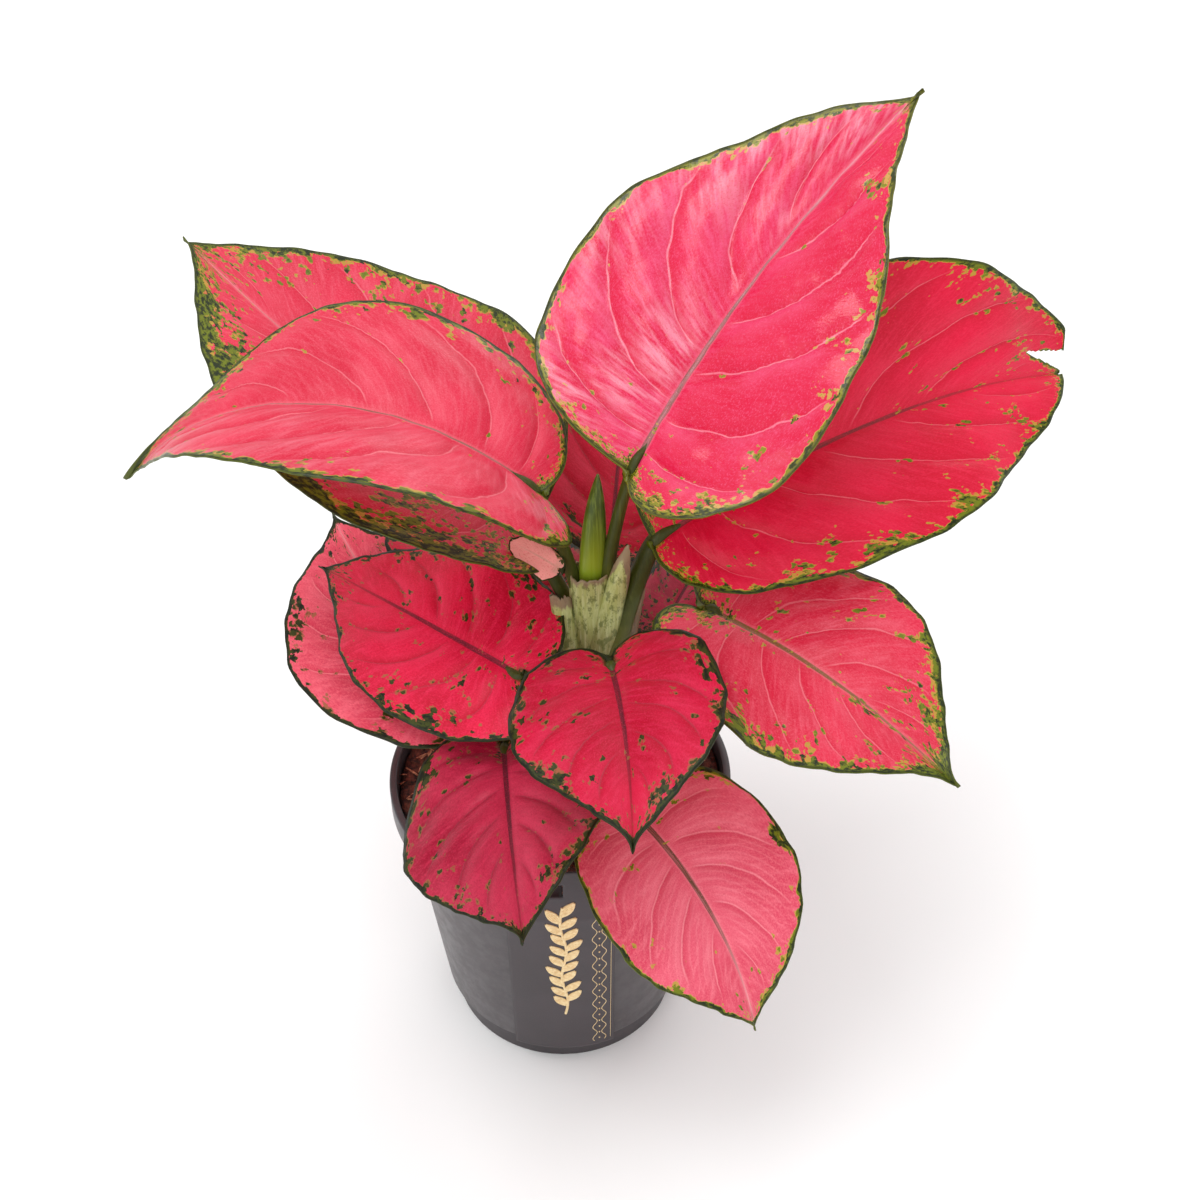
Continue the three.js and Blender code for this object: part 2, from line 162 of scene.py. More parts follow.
# Each blade's place and outline, with the same values as in the part's source. Pairs are for its left and
# right half, or for its joint and tip. blunt widens a tip, torn is a triangle without flesh, and root and
# stalk are the foot and the radii of a stalk that differs.
# The rest is finish: green and left_green for more flecks, edge for a broader green margin, quilt for the
# height of the flesh between the veins, sheen for a painted silvery sheen on the left half and painted shade
# on the right, rib and rib_green for a broader and a greener midrib, fine for thin pale veins, under and
# over for paleness below and above, lift for lightness, painted light on blades that lie in the shade of
# others.
LEAVES = {
    "leaf_01": dict(
        joint=(23, -3, 239), stem="stem_main", length=145, half=(52, 52),
        heading=51, rise=39.5, droop=3, sweep=-23, roll=11, twist=-3,
        widest=0.32, lobe=(0, 0.07), tip=(0.08, 0.08), fold=(20, 20), curl=(11, 16), wave=(2, 2.5, 40),
        tone="pink", green=-0.02, gloss=0.22, quilt=3.0, sheen=0.55, edge=1.15,
    ),
    "leaf_02": dict(
        joint=(-4, -2, 231), stem="stem_main", length=159, half=(44, 45),
        heading=164, rise=37, droop=90, sweep=4, roll=0, twist=-10,
        widest=0.38, lobe=(0.1, 0.02), tip=(0.11, 0.3), fold=(17, 15), curl=(8, 11), wave=(1.5, 2, 0),
        tone="coral", green=-0.015, gloss=0.34, quilt=2.0, sheen=0.15, rib=0.45, fine=0.08,
    ),
    "leaf_03": dict(
        joint=(-8, 12, 203), stem="stem_main", length=163, half=(47, 57),
        heading=146.5, rise=21, droop=0, sweep=-8, roll=-2, twist=-12,
        widest=0.37, lobe=(0.08, -0.02), tip=(0.08, 0.04), fold=(23, 4), curl=(10, 8), wave=(1.5, 2, 90),
        tone="coral", green=0.03, gloss=0.5, quilt=1.4, under=0.0, left_green=0.125, rib=0.5,
    ),
    "leaf_04": dict(
        joint=(31, 3, 208), stem="stem_main", length=166, half=(51, 42),
        heading=20, rise=29, droop=47, sweep=16, roll=42, twist=15,
        widest=0.45, lobe=(0, 0.02), tip=(-0.12, 0), fold=(18, 18), curl=(8, 10), wave=(2, 3, 0),
        tone="red", green=0.005, gloss=0.34, edge=1.05, quilt=1.8, lift=1.08,
        blunt=(0.3, 0.24), torn=[(175, -2), (175, 8), (147, 9)], root=(14.5, -6, 150), stalk=(4.3, 3.1),
    ),
    "leaf_05": dict(
        joint=(18, 27, 181), stem="stem_main", length=98, half=(35, 23),
        heading=89, rise=25, droop=2, sweep=-15, roll=29, twist=0,
        widest=0.36, lobe=(0, 0.02), tip=(0.12, 0.12), fold=(6, 6), curl=(10, 10), wave=(1.5, 2, 0),
        tone="crimson", green=0.02, gloss=0.5, quilt=1.0, under=0.0, edge=1.4,
    ),
    "leaf_06": dict(
        joint=(-11, -24, 176), stem="stem_main", length=104, half=(32, 34),
        heading=140, rise=-1, droop=12, sweep=-8, roll=-28, twist=0,
        widest=0.35, lobe=(0.14, 0.08), tip=(0.12, 0.12), fold=(1, 1), curl=(13, 14), wave=(1, 2, 60),
        tone="crimson", green=0.015, gloss=0.38, quilt=1.3, lift=1.3, edge=0.85,
    ),
    "leaf_07": dict(
        joint=(-28, -3, 148), stem="stem_left", length=107, half=(42, 38),
        heading=134, rise=6, droop=1, sweep=-21, roll=-7, twist=2,
        widest=0.38, lobe=(0.11, 0.11), tip=(0.12, 0.12), fold=(4, 4), curl=(12, 10), wave=(1.2, 2, 0),
        tone="salmon", green=0.008, gloss=0.45, quilt=1.1, lift=1.25, fine=0.1, edge=0.9,
    ),
    "leaf_08": dict(
        joint=(17, -29, 186), stem="stem_right", length=77, half=(32, 34),
        heading=-81, rise=10, droop=23, sweep=-9, roll=11, twist=1,
        widest=0.39, lobe=(0.13, 0.11), tip=(0.13, 0.13), fold=(12, 12), curl=(9, 10), wave=(1, 2, 30),
        tone="crimson", green=0.013, gloss=0.38, quilt=1.3, edge=0.9,
    ),
    "leaf_09": dict(
        joint=(-17, -30, 152), stem="stem_left", length=86, half=(32, 35),
        heading=-85, rise=2, droop=-3, sweep=3, roll=16, twist=8,
        widest=0.4, lobe=(0.11, 0.12), tip=(0.13, 0.13), fold=(5, 5), curl=(9, 10), wave=(1, 2, 0),
        tone="wine", green=0.006, gloss=0.34, quilt=1.6, edge=0.8,
    ),
    "leaf_10": dict(
        joint=(26, -44, 133), stem="stem_right", length=82, half=(34, 34),
        heading=-49, rise=-8, droop=65, sweep=-3, roll=10, twist=3,
        widest=0.35, lobe=(0.1, 0.12), tip=(0.09, 0.09), fold=(13, 13), curl=(10, 10), wave=(1, 2, 0),
        tone="rose", green=-0.03, gloss=0.42, quilt=1.0, lift=1.15, fine=0.2, edge=0.85,
    ),
    "leaf_11": dict(
        joint=(48, -4, 187), stem="stem_right", length=98, half=(38, 37),
        heading=-39, rise=3, droop=29, sweep=-2, roll=10, twist=4,
        widest=0.43, lobe=(0.11, 0.11), tip=(0.11, 0.11), fold=(11, 11), curl=(9, 10), wave=(1.2, 2, 90),
        tone="coral", green=0.02, gloss=0.4, quilt=1.3, rib_green=0.75,
    ),
    "leaf_12": dict(
        joint=(31, 10, 159), stem="stem_main", length=105, half=(28, 32),
        heading=54, rise=26, droop=15, sweep=22, roll=-31, twist=0,
        widest=0.36, lobe=(0, 0.04), tip=(0.12, 0.12), fold=(2, 2), curl=(10, 10), wave=(1.5, 2, 0),
        tone="wine", green=0.04, gloss=0.6, quilt=0.8, under=0.0, edge=1.5,
    ),
    "leaf_13": dict(
        joint=(-12, 26, 164), stem="stem_main", length=96, half=(33, 33),
        heading=118, rise=4, droop=25, sweep=0, roll=0, twist=0,
        widest=0.37, lobe=(0.11, 0.11), tip=(0.12, 0.12), fold=(12, 12), curl=(10, 10), wave=(1.5, 2, 0),
        tone="crimson", green=0.03, gloss=0.45, quilt=0.8,
    ),
}
# The rear lobe of leaf_02, curled under so that its pale side shows over the crown
CURLED_LOBE = dict(
    joint=(1.5, -6, 204.5), length=18, half=(6.5, 5),
    heading=165, rise=30, droop=10, sweep=0, roll=-45, twist=0,
    widest=0.4, lobe=(0.06, 0.06), tip=(0.02, 0.02), fold=(2, 2), curl=(20, 25), wave=(0.4, 1, 0),
    tone="salmon", green=-0.05, gloss=0.6, quilt=0.3, rib=0.4, edge=0.35, lift=1.22, over=0.75,
    blunt=(0.5, 0.5),
)
LOBE_SEED = 21

# Stage. The softboxes have place, width and height in metres and power in watts, and point at the middle.
PAPER_HALF = 4000
SKY_STRENGTH = 0.84
MIDDLE = (0.01, 0, 0.2)
SOFTBOXES = {
    "key_light": dict(place_at=(-1.0, -0.5, 3.6), size=(1.9, 1.9), power=46),
    "rear_light": dict(place_at=(0.5, 1.2, 1.3), size=(1.0, 0.5), power=4),
    "fill_light": dict(place_at=(-1.1, -1.9, 1.5), size=(1.2, 1.2), power=9),
}

# Camera
VIEW_FROM = (14, -397, 513)
VIEW_TILT = 50.6  # of the lens, up from looking straight down
LENS = 47.85  # focal length
SENSOR = 36  # breadth of the film


def srgb(red, green, blue):
    """A colour as it shows on a screen, 0 to 255, turned into the linear value that a shader takes."""
    shown = [value / 255 for value in (red, green, blue)]
    return tuple(v / 12.92 if v <= 0.04045 else ((v + 0.055) / 1.055) ** 2.4 for v in shown) + (1.0,)


# Deep green, light green and the yellow at the edge of a fleck
BRIGHT = (srgb(44, 52, 4), srgb(136, 134, 26), srgb(196, 168, 76))
FRESH = (srgb(27, 38, 3), srgb(108, 118, 14), srgb(172, 156, 48))
DULL = (srgb(13, 19, 4), srgb(54, 60, 14), srgb(140, 96, 56))
PALE_VEIN = srgb(250, 170, 176)
DARK_VEIN = srgb(70, 16, 30)
OLIVE_RIB = srgb(98, 90, 32)
# Painted sheen: the pale pink that stands for gloss on a blade's lit side.
PAINTED_SHEEN = srgb(250, 186, 204)
PALE_UNDERSIDE = srgb(222, 162, 146)

FLECK = 0.624  # where the field of flecks turns green
FLECK_RIM = 0.604
FLECK_SOFT = 0.016  # softness of both

# The colours of a blade's flesh, midrib and flecks. ring is how far the rim of a fleck spreads, near the
# margin and away from it, veins the strength of pale side veins, and fade the red that the midrib fades to.
TONES = {
    "pink": dict(
        body=srgb(225, 20, 78), light=srgb(238, 96, 140), deep=srgb(214, 2, 58), rib=srgb(132, 92, 84),
        flecks=BRIGHT, ring=(0.03, 0.0), veins=0.75, fade="pale", shine=0.4,
    ),
    "coral": dict(
        body=srgb(222, 38, 72), light=srgb(230, 92, 112), deep=srgb(206, 20, 56), rib=srgb(126, 84, 66),
        flecks=FRESH, ring=(0.03, 0.0), veins=0.5, fade="pale", shine=0.32,
    ),
    "red": dict(
        body=srgb(222, 14, 60), light=srgb(228, 42, 78), deep=srgb(202, 8, 46), rib=srgb(104, 44, 44),
        flecks=FRESH, ring=(0.03, 0.0), veins=0.5, fade="deep", shine=0.24,
    ),
    "crimson": dict(
        body=srgb(206, 12, 58), light=srgb(218, 44, 84), deep=srgb(176, 4, 40), rib=srgb(84, 22, 36),
        flecks=DULL, ring=(0.009, 0.007), veins=0.1, fade="deep", shine=0.24,
    ),
    "wine": dict(
        body=srgb(186, 42, 72), light=srgb(206, 50, 84), deep=srgb(152, 12, 46), rib=srgb(72, 22, 34),
        flecks=DULL, ring=(0.009, 0.007), veins=0.1, fade="deep", shine=0.24,
    ),
    "rose": dict(
        body=srgb(224, 86, 110), light=srgb(240, 128, 142), deep=srgb(206, 60, 86), rib=srgb(92, 66, 44),
        flecks=FRESH, ring=(0.03, 0.0), veins=0.5, fade="pale", shine=0.24,
    ),
    "salmon": dict(
        body=srgb(222, 84, 104), light=srgb(234, 110, 126), deep=srgb(200, 50, 76), rib=srgb(92, 76, 44),
        flecks=DULL, ring=(0.009, 0.007), veins=0.5, fade="pale", shine=0.24,
    ),
}


def pale_vein(tone):
    """The colour of pale veins, half way from the light colour of the flesh."""
    return tuple((a + b) / 2 for a, b in zip(tone["light"], PALE_VEIN))


class Graph:
    """Short calls for building a node tree, of a material or of geometry."""

    def __init__(self, tree):
        self.tree = tree

    def add(self, kind, inputs=None, **settings):
        node = self.tree.nodes.new(kind)
        for name, value in settings.items():
            setattr(node, name, value)
        for key, value in (inputs or {}).items():
            if isinstance(value, bpy.types.NodeSocket):
                self.tree.links.new(value, node.inputs[key])
            else:
                node.inputs[key].default_value = value
        return node

    def math(self, operation, a, b=0.0, c=0.0):
        return self.add("ShaderNodeMath", {0: a, 1: b, 2: c}, operation=operation).outputs[0]

    def vector(self, operation, a, b=(0, 0, 0)):
        return self.add("ShaderNodeVectorMath", {0: a, 1: b}, operation=operation).outputs[0]

    def scaled(self, vector, scale):
        return self.add("ShaderNodeVectorMath", {0: vector, "Scale": scale}, operation="SCALE").outputs[0]

    def parts(self, vector):
        return self.add("ShaderNodeSeparateXYZ", {0: vector}).outputs

    def span(self, value, low, high, to_low=0.0, to_high=1.0):
        """value between low and high, turned smoothly into to_low up to to_high."""
        inputs = {"Value": value, 1: low, 2: high, 3: to_low, 4: to_high}
        return self.add("ShaderNodeMapRange", inputs, interpolation_type="SMOOTHSTEP").outputs[0]

    def noise(self, vector, scale=1.0, detail=2.0, roughness=0.5):
        inputs = {"Vector": vector, "Scale": scale, "Detail": detail, "Roughness": roughness}
        return self.add("ShaderNodeTexNoise", inputs).outputs[0]

    def stretched(self, vector, stretch, scale=1.0, detail=2.0, roughness=0.5):
        """Noise whose grain is drawn out along an axis where stretch is small."""
        return self.noise(self.vector("MULTIPLY", vector, stretch), scale, detail, roughness)

    def product(self, *values):
        result = values[0]
        for value in values[1:]:
            result = self.math("MULTIPLY", result, value)
        return result

    def total(self, *values):
        result = values[0]
        for value in values[1:]:
            result = self.math("ADD", result, value)
        return result

    def object_place(self):
        return self.add("ShaderNodeTexCoord").outputs["Object"]

    def bump(self, height, strength, millimetres):
        inputs = {"Height": height, "Strength": strength, "Distance": millimetres * MM}
        return self.add("ShaderNodeBump", inputs).outputs[0]

    def blend(self, share, a, b):
        inputs = {0: share, 6: a, 7: b}
        return self.add("ShaderNodeMix", inputs, data_type="RGBA").outputs[2]

    def attribute(self, name):
        return self.add("ShaderNodeAttribute", attribute_name=name)


def finish(name, build, **values):
    """A material whose principled shader is fed by what build returns for its graph."""
    material = bpy.data.materials.new(name)
    material.use_nodes = True
    shader = material.node_tree.nodes["Principled BSDF"]
    graph = Graph(material.node_tree)
    for key, value in build(graph, **values).items():
        if isinstance(value, bpy.types.NodeSocket):
            material.node_tree.links.new(value, shader.inputs[key])
        else:
            shader.inputs[key].default_value = value
    return material


def geometry_tree(name, inputs):
    """An empty geometry tree with named inputs. Returns its graph, its input sockets and its output node."""
    tree = bpy.data.node_groups.new(name, "GeometryNodeTree")
    tree.interface.new_socket("Geometry", in_out="INPUT", socket_type="NodeSocketGeometry")
    for label, kind in inputs.items():
        tree.interface.new_socket(label, in_out="INPUT", socket_type="NodeSocket" + kind)
    tree.interface.new_socket("Geometry", in_out="OUTPUT", socket_type="NodeSocketGeometry")
    graph = Graph(tree)
    return graph, graph.add("NodeGroupInput").outputs, graph.add("NodeGroupOutput")


def close_tree(graph, geometry, material, output):
    """Ends a geometry tree in real, smooth mesh faces of one material."""
    real = graph.add("GeometryNodeRealizeInstances", {0: geometry}).outputs[0]
    smooth = graph.add("GeometryNodeSetShadeSmooth", {0: real, 2: True}).outputs[0]
    ended = graph.add("GeometryNodeSetMaterial", {0: smooth, "Material": material}).outputs[0]
    graph.tree.links.new(ended, output.inputs[0])


def grown(name, data, tree, values, thickness=0.0, weights=None):
    """A new mesh piece made from data by a geometry tree. A sheet gets a wall, thin at low weights."""
    source = bpy.data.objects.new(name, data)
    bpy.context.scene.collection.objects.link(source)
    if weights is not None:
        group = source.vertex_groups.new(name="body")
        for i, weight in enumerate(weights):
            group.add([i], float(weight), "REPLACE")
    modifier = source.modifiers.new(tree.name, "NODES")
    modifier.node_group = tree
    sockets = {item.name: item.identifier for item in tree.interface.items_tree if item.in_out == "INPUT"}
    for label, value in values.items():
        modifier[sockets[label]] = value
    if thickness:
        wall = source.modifiers.new("wall", "SOLIDIFY")
        wall.thickness = thickness
        wall.offset = 0.0 if weights is None else WALL_OFFSET
        wall.vertex_group = "" if weights is None else "body"
        wall.material_offset = 0 if weights is None else 1
    return plain(source)


def plain(source):
    """The piece with its modifiers turned into mesh."""
    bpy.context.view_layer.update()
    depsgraph = bpy.context.evaluated_depsgraph_get()
    evaluated = source.evaluated_get(depsgraph)
    mesh = bpy.data.meshes.new_from_object(evaluated, preserve_all_data_layers=True, depsgraph=depsgraph)
    name = source.name
    bpy.data.objects.remove(source)
    piece = bpy.data.objects.new(name, mesh)
    mesh.name = name
    bpy.context.scene.collection.objects.link(piece)
    return piece


def mesh_data(name, points, faces, materials=(), **attributes):
    """A mesh from points in millimetres. Each attribute has one value or vector for each point."""
    mesh = bpy.data.meshes.new(name)
    mesh.from_pydata([tuple(p) for p in np.asarray(points, float) * MM], [], faces)
    for label, values in attributes.items():
        values = np.asarray(values, float)
        kind, key = ("FLOAT_VECTOR", "vector") if values.ndim == 2 else ("FLOAT", "value")
        mesh.attributes.new(label, kind, "POINT").data.foreach_set(key, values.ravel())
    for material in materials:
        mesh.materials.append(material)
    mesh.shade_smooth()
    return mesh


def grid_faces(rows, columns, closed=False):
    """Quads of a grid of points, rows by columns. A closed grid joins its last column to its first."""
    faces = []
    for i in range(rows - 1):
        for j in range(columns if closed else columns - 1):
            k = (j + 1) % columns
            faces.append((i * columns + j, (i + 1) * columns + j, (i + 1) * columns + k, i * columns + k))
    return faces


def place(piece, slot, *nodes):
    """The piece rides on the one body and stands for the named nodes. slot is not used."""
    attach(piece, "root")
    if nodes:
        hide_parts(*nodes)


# The shape of a blade

def rib_frame(leaf, s):
    """Tangent, direction to the left and normal of the midrib at shares s of its length."""
    c = np.clip(s, 0, 1)
    pitch = np.radians(leaf["rise"] - leaf["droop"] * c)
    yaw = np.radians(leaf["heading"] + leaf["sweep"] * c)
    roll = np.radians(leaf["roll"] + leaf["twist"] * c)[..., None]
    along = np.stack([np.cos(pitch) * np.cos(yaw), np.cos(pitch) * np.sin(yaw), np.sin(pitch)], -1)
    level = np.stack([-np.sin(yaw), np.cos(yaw), np.zeros_like(yaw)], -1)
    up = np.cross(along, level)
    return along, level * np.cos(roll) + up * np.sin(roll), up * np.cos(roll) - level * np.sin(roll)


def rib_point(leaf, s, steps=40):
    """Points on the midrib at shares s of its length, added up in short steps."""
    s = np.asarray(s, float)
    along = rib_frame(leaf, (np.arange(steps) + 0.5) / steps)[0]
    shares = np.clip(s[..., None] * steps - np.arange(steps), 0, 1) * leaf["length"] / steps
    behind = np.minimum(s, 0)[..., None] * leaf["length"] * rib_frame(leaf, np.zeros(1))[0]
    return np.array(leaf["joint"], float) + shares @ along + behind


def bezier(points, t):
    a, b, c, d = (np.array(p, float) for p in points)
    t = t[..., None]
    return (1 - t) ** 3 * a + 3 * (1 - t) ** 2 * t * b + 3 * (1 - t) * t ** 2 * c + t ** 3 * d


def margin(leaf, side, t):
    """Flat outline of one half, from the joint round the lobe to the tip. x runs along the midrib."""
    length, half = leaf["length"], leaf["half"][side]
    back = leaf["lobe"][side] * length
    broad = (leaf["widest"] * length, half)
    lobe = bezier([(0, 0), (-2 * back, 0.12 * half), (-0.9 * back, half), broad], t / LOBE_SHARE)
    shoulder = ((1 + leaf["widest"]) / 2 * length, half)
    tip = ((1 - leaf["tip"][side]) * length, leaf.get("blunt", (0, 0))[side] * half)
    front = bezier([broad, shoulder, tip, (length, 0)], (t - LOBE_SHARE) / (1 - LOBE_SHARE))
    edge = np.where((t < LOBE_SHARE)[..., None], lobe, front)
    wobble = 0.4 * np.sin(23 * t + 5 * side + half) + 0.3 * np.sin(61 * t + half) + 0.15 * np.sin(121 * t)
    edge[..., 1] = np.maximum(edge[..., 1] + wobble * np.minimum(1, 6 * t * (1 - t)) ** 2, 0)
    return edge


def blade_sheet(leaf, q, t):
    """Points at rows t and signed shares q of the way to the margin, with their flat places x and y."""
    edge = np.where((q >= 0)[..., None], margin(leaf, 0, t), margin(leaf, 1, t))
    share, sign = np.abs(q), np.where(q >= 0, 1.0, -1.0)
    half = np.where(q >= 0, leaf["half"][0], leaf["half"][1])
    curl = np.radians(np.where(q >= 0, leaf["curl"][0], leaf["curl"][1]))
    x = (1 - share ** 1.25) * leaf["length"] * t ** 1.8 + share ** 1.25 * edge[..., 0]
    y = edge[..., 1] * share
    s = x / leaf["length"]
    _, left, normal = rib_frame(leaf, s)
    bend = curl / half
    fold = np.radians(leaf["fold"][0] + (leaf["fold"][1] - leaf["fold"][0]) * np.clip(s, 0, 1))
    across = (np.sin(fold) - np.sin(fold - bend * y)) / bend
    height, count, start = leaf["wave"]
    waves = height * share ** 2 * np.sin(np.radians(360 * count * s + start + np.where(q >= 0, 0, 120)))
    lift = (np.cos(fold - bend * y) - np.cos(fold)) / bend + waves
    points = rib_point(leaf, s) + left * (sign * across)[..., None] + normal * lift[..., None]
    return points, x, y * sign


def inside(point, corners):
    """Whether a flat point lies inside a triangle."""
    turns = []
    for a, b in zip(corners, corners[1:] + corners[:1]):
        turns.append((b[0] - a[0]) * (point[1] - a[1]) - (b[1] - a[1]) * (point[0] - a[0]) > 0)
    return all(turns) or not any(turns)


def nearest(flat, line):
    """Distance from each flat point to the nearest point of a line."""
    return np.sqrt(((flat[:, None] - line[None]) ** 2).sum(-1).min(1))


def blade_data(name, leaf, materials):
    """The middle surface of a blade as a mesh, with the flat places that its relief and colours follow."""
    rows = int(leaf["length"] / SHEET_STEP)
    columns = int(max(leaf["half"]) / SHEET_STEP)
    t, q = np.meshgrid(np.linspace(0, 1, rows), np.linspace(-1, 1, 2 * columns + 1), indexing="ij")
    points, x, y = blade_sheet(leaf, q, t)
    fine = np.linspace(0, 1, 500)
    flat = np.stack([x.ravel(), y.ravel()], -1)
    gap = nearest(flat, np.concatenate([margin(leaf, side, fine) * (1, 1 - 2 * side) for side in (0, 1)]))
    if "torn" in leaf:
        a, b, c = np.array(leaf["torn"], float)
        tear = np.concatenate([c + (a - c) * fine[:, None], c + (b - c) * fine[:, None]])
        gap = np.minimum(gap, nearest(flat, tear) + TEAR_EDGE)
    lane = (t - VEIN_DRIFT * np.abs(q) ** 2) * VEINS + np.where(q < 0, VEIN_SHIFT, 0)
    grid = np.stack([t * leaf["length"], q * np.mean(leaf["half"]), 0 * t], -1)
    faces = grid_faces(*t.shape)
    if "torn" in leaf:
        faces = [face for face in faces if not inside(flat[list(face)].mean(0), leaf["torn"])]
    mesh = mesh_data(
        name, points.reshape(-1, 3), faces, materials,
        flat=np.concatenate([flat, 0 * flat[:, :1]], -1), grid=grid.reshape(-1, 3),
        margin=gap, lane=lane.ravel(), reach=t.ravel(),
    )
    s = np.clip(flat[:, 0] / leaf["length"], 0, 1)
    rib = np.exp(-((flat[:, 1] / RIB_HALF) ** 2)) * (1 - RIB_TAPER * s)
    body = EDGE_SHARE + (BLADE_SHARE - EDGE_SHARE) * np.clip(gap / THIN_EDGE, 0, 1)
    return mesh, np.maximum(body, rib)


def relief_tree():
    """Raises a blade between its side veins, sinks its midrib, puckers it and ripples its margin."""
    inputs = {"Quilt": "Float", "Pucker": "Float", "Groove": "Float", "Ripple": "Float", "Seed": "Float"}
    graph, given, output = geometry_tree("blade_relief", {**inputs, "Finish": "Material"})

    def stored(name, kind="FLOAT"):
        return graph.add("GeometryNodeInputNamedAttribute", {0: name}, data_type=kind).outputs[0]

    flat = stored("flat", "FLOAT_VECTOR")
    across = graph.math("ABSOLUTE", graph.parts(flat)[1])
    gap, reach = stored("margin"), stored("reach")
    wave = graph.math("ABSOLUTE", graph.math("SINE", graph.math("MULTIPLY", stored("lane"), math.pi)))
    swell = graph.math("SUBTRACT", graph.math("POWER", wave, 0.6), 0.6)
    inner = graph.product(graph.span(across, 0.5, 9), graph.span(gap, 0, 12))
    ends = graph.product(graph.span(reach, 0.05, 0.25), graph.span(reach, 0.98, 0.8))
    quilt = graph.product(inner, ends, swell)
    seed = graph.add("ShaderNodeCombineXYZ", {2: given["Seed"]}).outputs[0]
    shifted = graph.vector("ADD", flat, seed)
    bumps = graph.math("SUBTRACT", graph.noise(shifted, 0.075, 3.0, 0.45), 0.5)
    pucker = graph.product(bumps, graph.span(gap, 0, 7))
    groove = graph.product(graph.span(across, 0.2, 2.6, -1, 0), graph.span(reach, 0, 1, 1, 0.25))
    waver = graph.math("SUBTRACT", graph.stretched(shifted, (1, 0.35, 1), 0.16, 1.0), 0.5)
    ripple = graph.product(waver, graph.span(gap, 8, 0))
    height = graph.math("MULTIPLY", quilt, given["Quilt"])
    for share, value in ((pucker, "Pucker"), (groove, "Groove"), (ripple, "Ripple")):
        height = graph.math("MULTIPLY_ADD", share, given[value], height)
    merged = graph.add("GeometryNodeMergeByDistance", {0: given["Geometry"], "Distance": 1e-5}).outputs[0]
    offset = graph.scaled(graph.add("GeometryNodeInputNormal").outputs[0], height)
    raised = graph.add("GeometryNodeSetPosition", {0: merged, "Offset": offset}).outputs[0]
    close_tree(graph, raised, given["Finish"], output)
    return graph.tree


def blade_places(graph, leaf, seed):
    """The flat places that a blade's colours follow, with noise that differs from blade to blade."""
    flat = graph.attribute("flat").outputs["Vector"]
    grid = graph.attribute("grid").outputs["Vector"]
    gap = graph.attribute("margin").outputs["Fac"]
    x, y, _ = graph.parts(flat)
    across = graph.math("ABSOLUTE", y)
    here = graph.vector("ADD", grid, (seed * 31.0, seed * 17.0, seed))
    shifted = graph.vector("ADD", flat, (seed * 40.0, 0, seed))
    wander = graph.math("SUBTRACT", graph.noise(shifted, 0.06, 2.0), 0.5)
    lane = graph.math("MULTIPLY_ADD", wander, 0.3, graph.attribute("lane").outputs["Fac"])
    return SimpleNamespace(
        flat=flat, gap=gap, x=x, y=y, across=across, here=here, shifted=shifted, lane=lane,
        patches=graph.noise(shifted, 0.03, 3.0),
        streaks=graph.stretched(here, (0.8, 0.1, 1), 1.0, 4.0, 0.6),
        grain=graph.stretched(here, (2.6, 1.2, 1), 1.0, 3.0, 0.6),
        from_vein=graph.math("MULTIPLY", graph.math("PINGPONG", lane, 0.5), leaf["length"] / VEINS),
        outward=graph.product(graph.span(across, 1, 6), graph.span(gap, 2, 9)),
    )


def flesh(graph, at, tone, sheen):
    """The red of a blade between its veins: patches, streaks, fine grain, a painted sheen on the left half
    and painted shade on the right.
    """
    colour = graph.blend(graph.span(at.patches, 0.35, 0.65), tone["deep"], tone["body"])
    colour = graph.blend(graph.span(at.streaks, 0.42, 0.75, 0, 0.6), colour, tone["light"])
    colour = graph.blend(graph.span(at.grain, 0.45, 0.7, 0, 0.35), colour, tone["light"])
    colour = graph.blend(graph.span(at.grain, 0.5, 0.3, 0, 0.3), colour, tone["deep"])
    # Painted highlight: pale silvery streaks stand for the gloss on the lit left half, over a paler pink
    # that the leaf partly has there.
    sheen_streaks = graph.span(graph.stretched(at.here, (0.42, 0.05, 1), 1.0, 4.0, 0.6), 0.4, 0.66, 0, sheen)
    lit_half = graph.span(at.y, 0, 5, 0.12, 1)
    clouds = graph.span(graph.noise(at.shifted, 0.022, 1.0), 0.36, 0.6, 0.1, 1)
    colour = graph.blend(graph.product(sheen_streaks, lit_half, clouds), colour, PAINTED_SHEEN)
    # Painted shade: the right half, turned from the light, darkens toward the deep red.
    return graph.blend(graph.span(at.y, 2, -9, 0, 1.3 * sheen), colour, tone["deep"])


def side_veins(graph, at, tone, leaf, colour):
    """Painted shade in the hollows and each vein's groove, painted highlight on the crests, with a line on
    each vein and fine ones between.
    """
    pale, ramp = pale_vein(tone), graph.math("FRACT", at.lane)
    # Painted shade on the slope just past each vein, and painted highlight on the swell before the next.
    hollow_shade = graph.product(graph.span(ramp, 0.0, 0.3, 0.75, 0), at.outward)
    colour = graph.blend(hollow_shade, colour, tone["deep"])
    crest_highlight = graph.product(graph.span(ramp, 0.45, 0.95, 0, 0.4), at.outward)
    crest_highlight = graph.product(crest_highlight, graph.span(at.patches, 0.4, 0.6))
    colour = graph.blend(crest_highlight, colour, tone["light"])
    # Painted shade in the groove along each vein.
    groove = graph.product(graph.span(at.from_vein, 1.4, 0.2, 0, 0.4), at.outward)
    colour = graph.blend(groove, colour, tone["deep"])
    between = graph.math("PINGPONG", graph.math("MULTIPLY", at.lane, 5.0), 0.5)
    fine = graph.product(graph.span(between, 0.22, 0.0, 0, leaf.get("fine", 0.0)), at.outward)
    colour = graph.blend(fine, colour, pale)
    line = graph.product(graph.span(at.from_vein, 0.42, 0.08), at.outward)
    colour = graph.blend(graph.math("MULTIPLY", line, tone["veins"]), colour, pale)
    return graph.blend(graph.math("MULTIPLY", line, max(0.0, 0.35 - tone["veins"])), colour, DARK_VEIN)


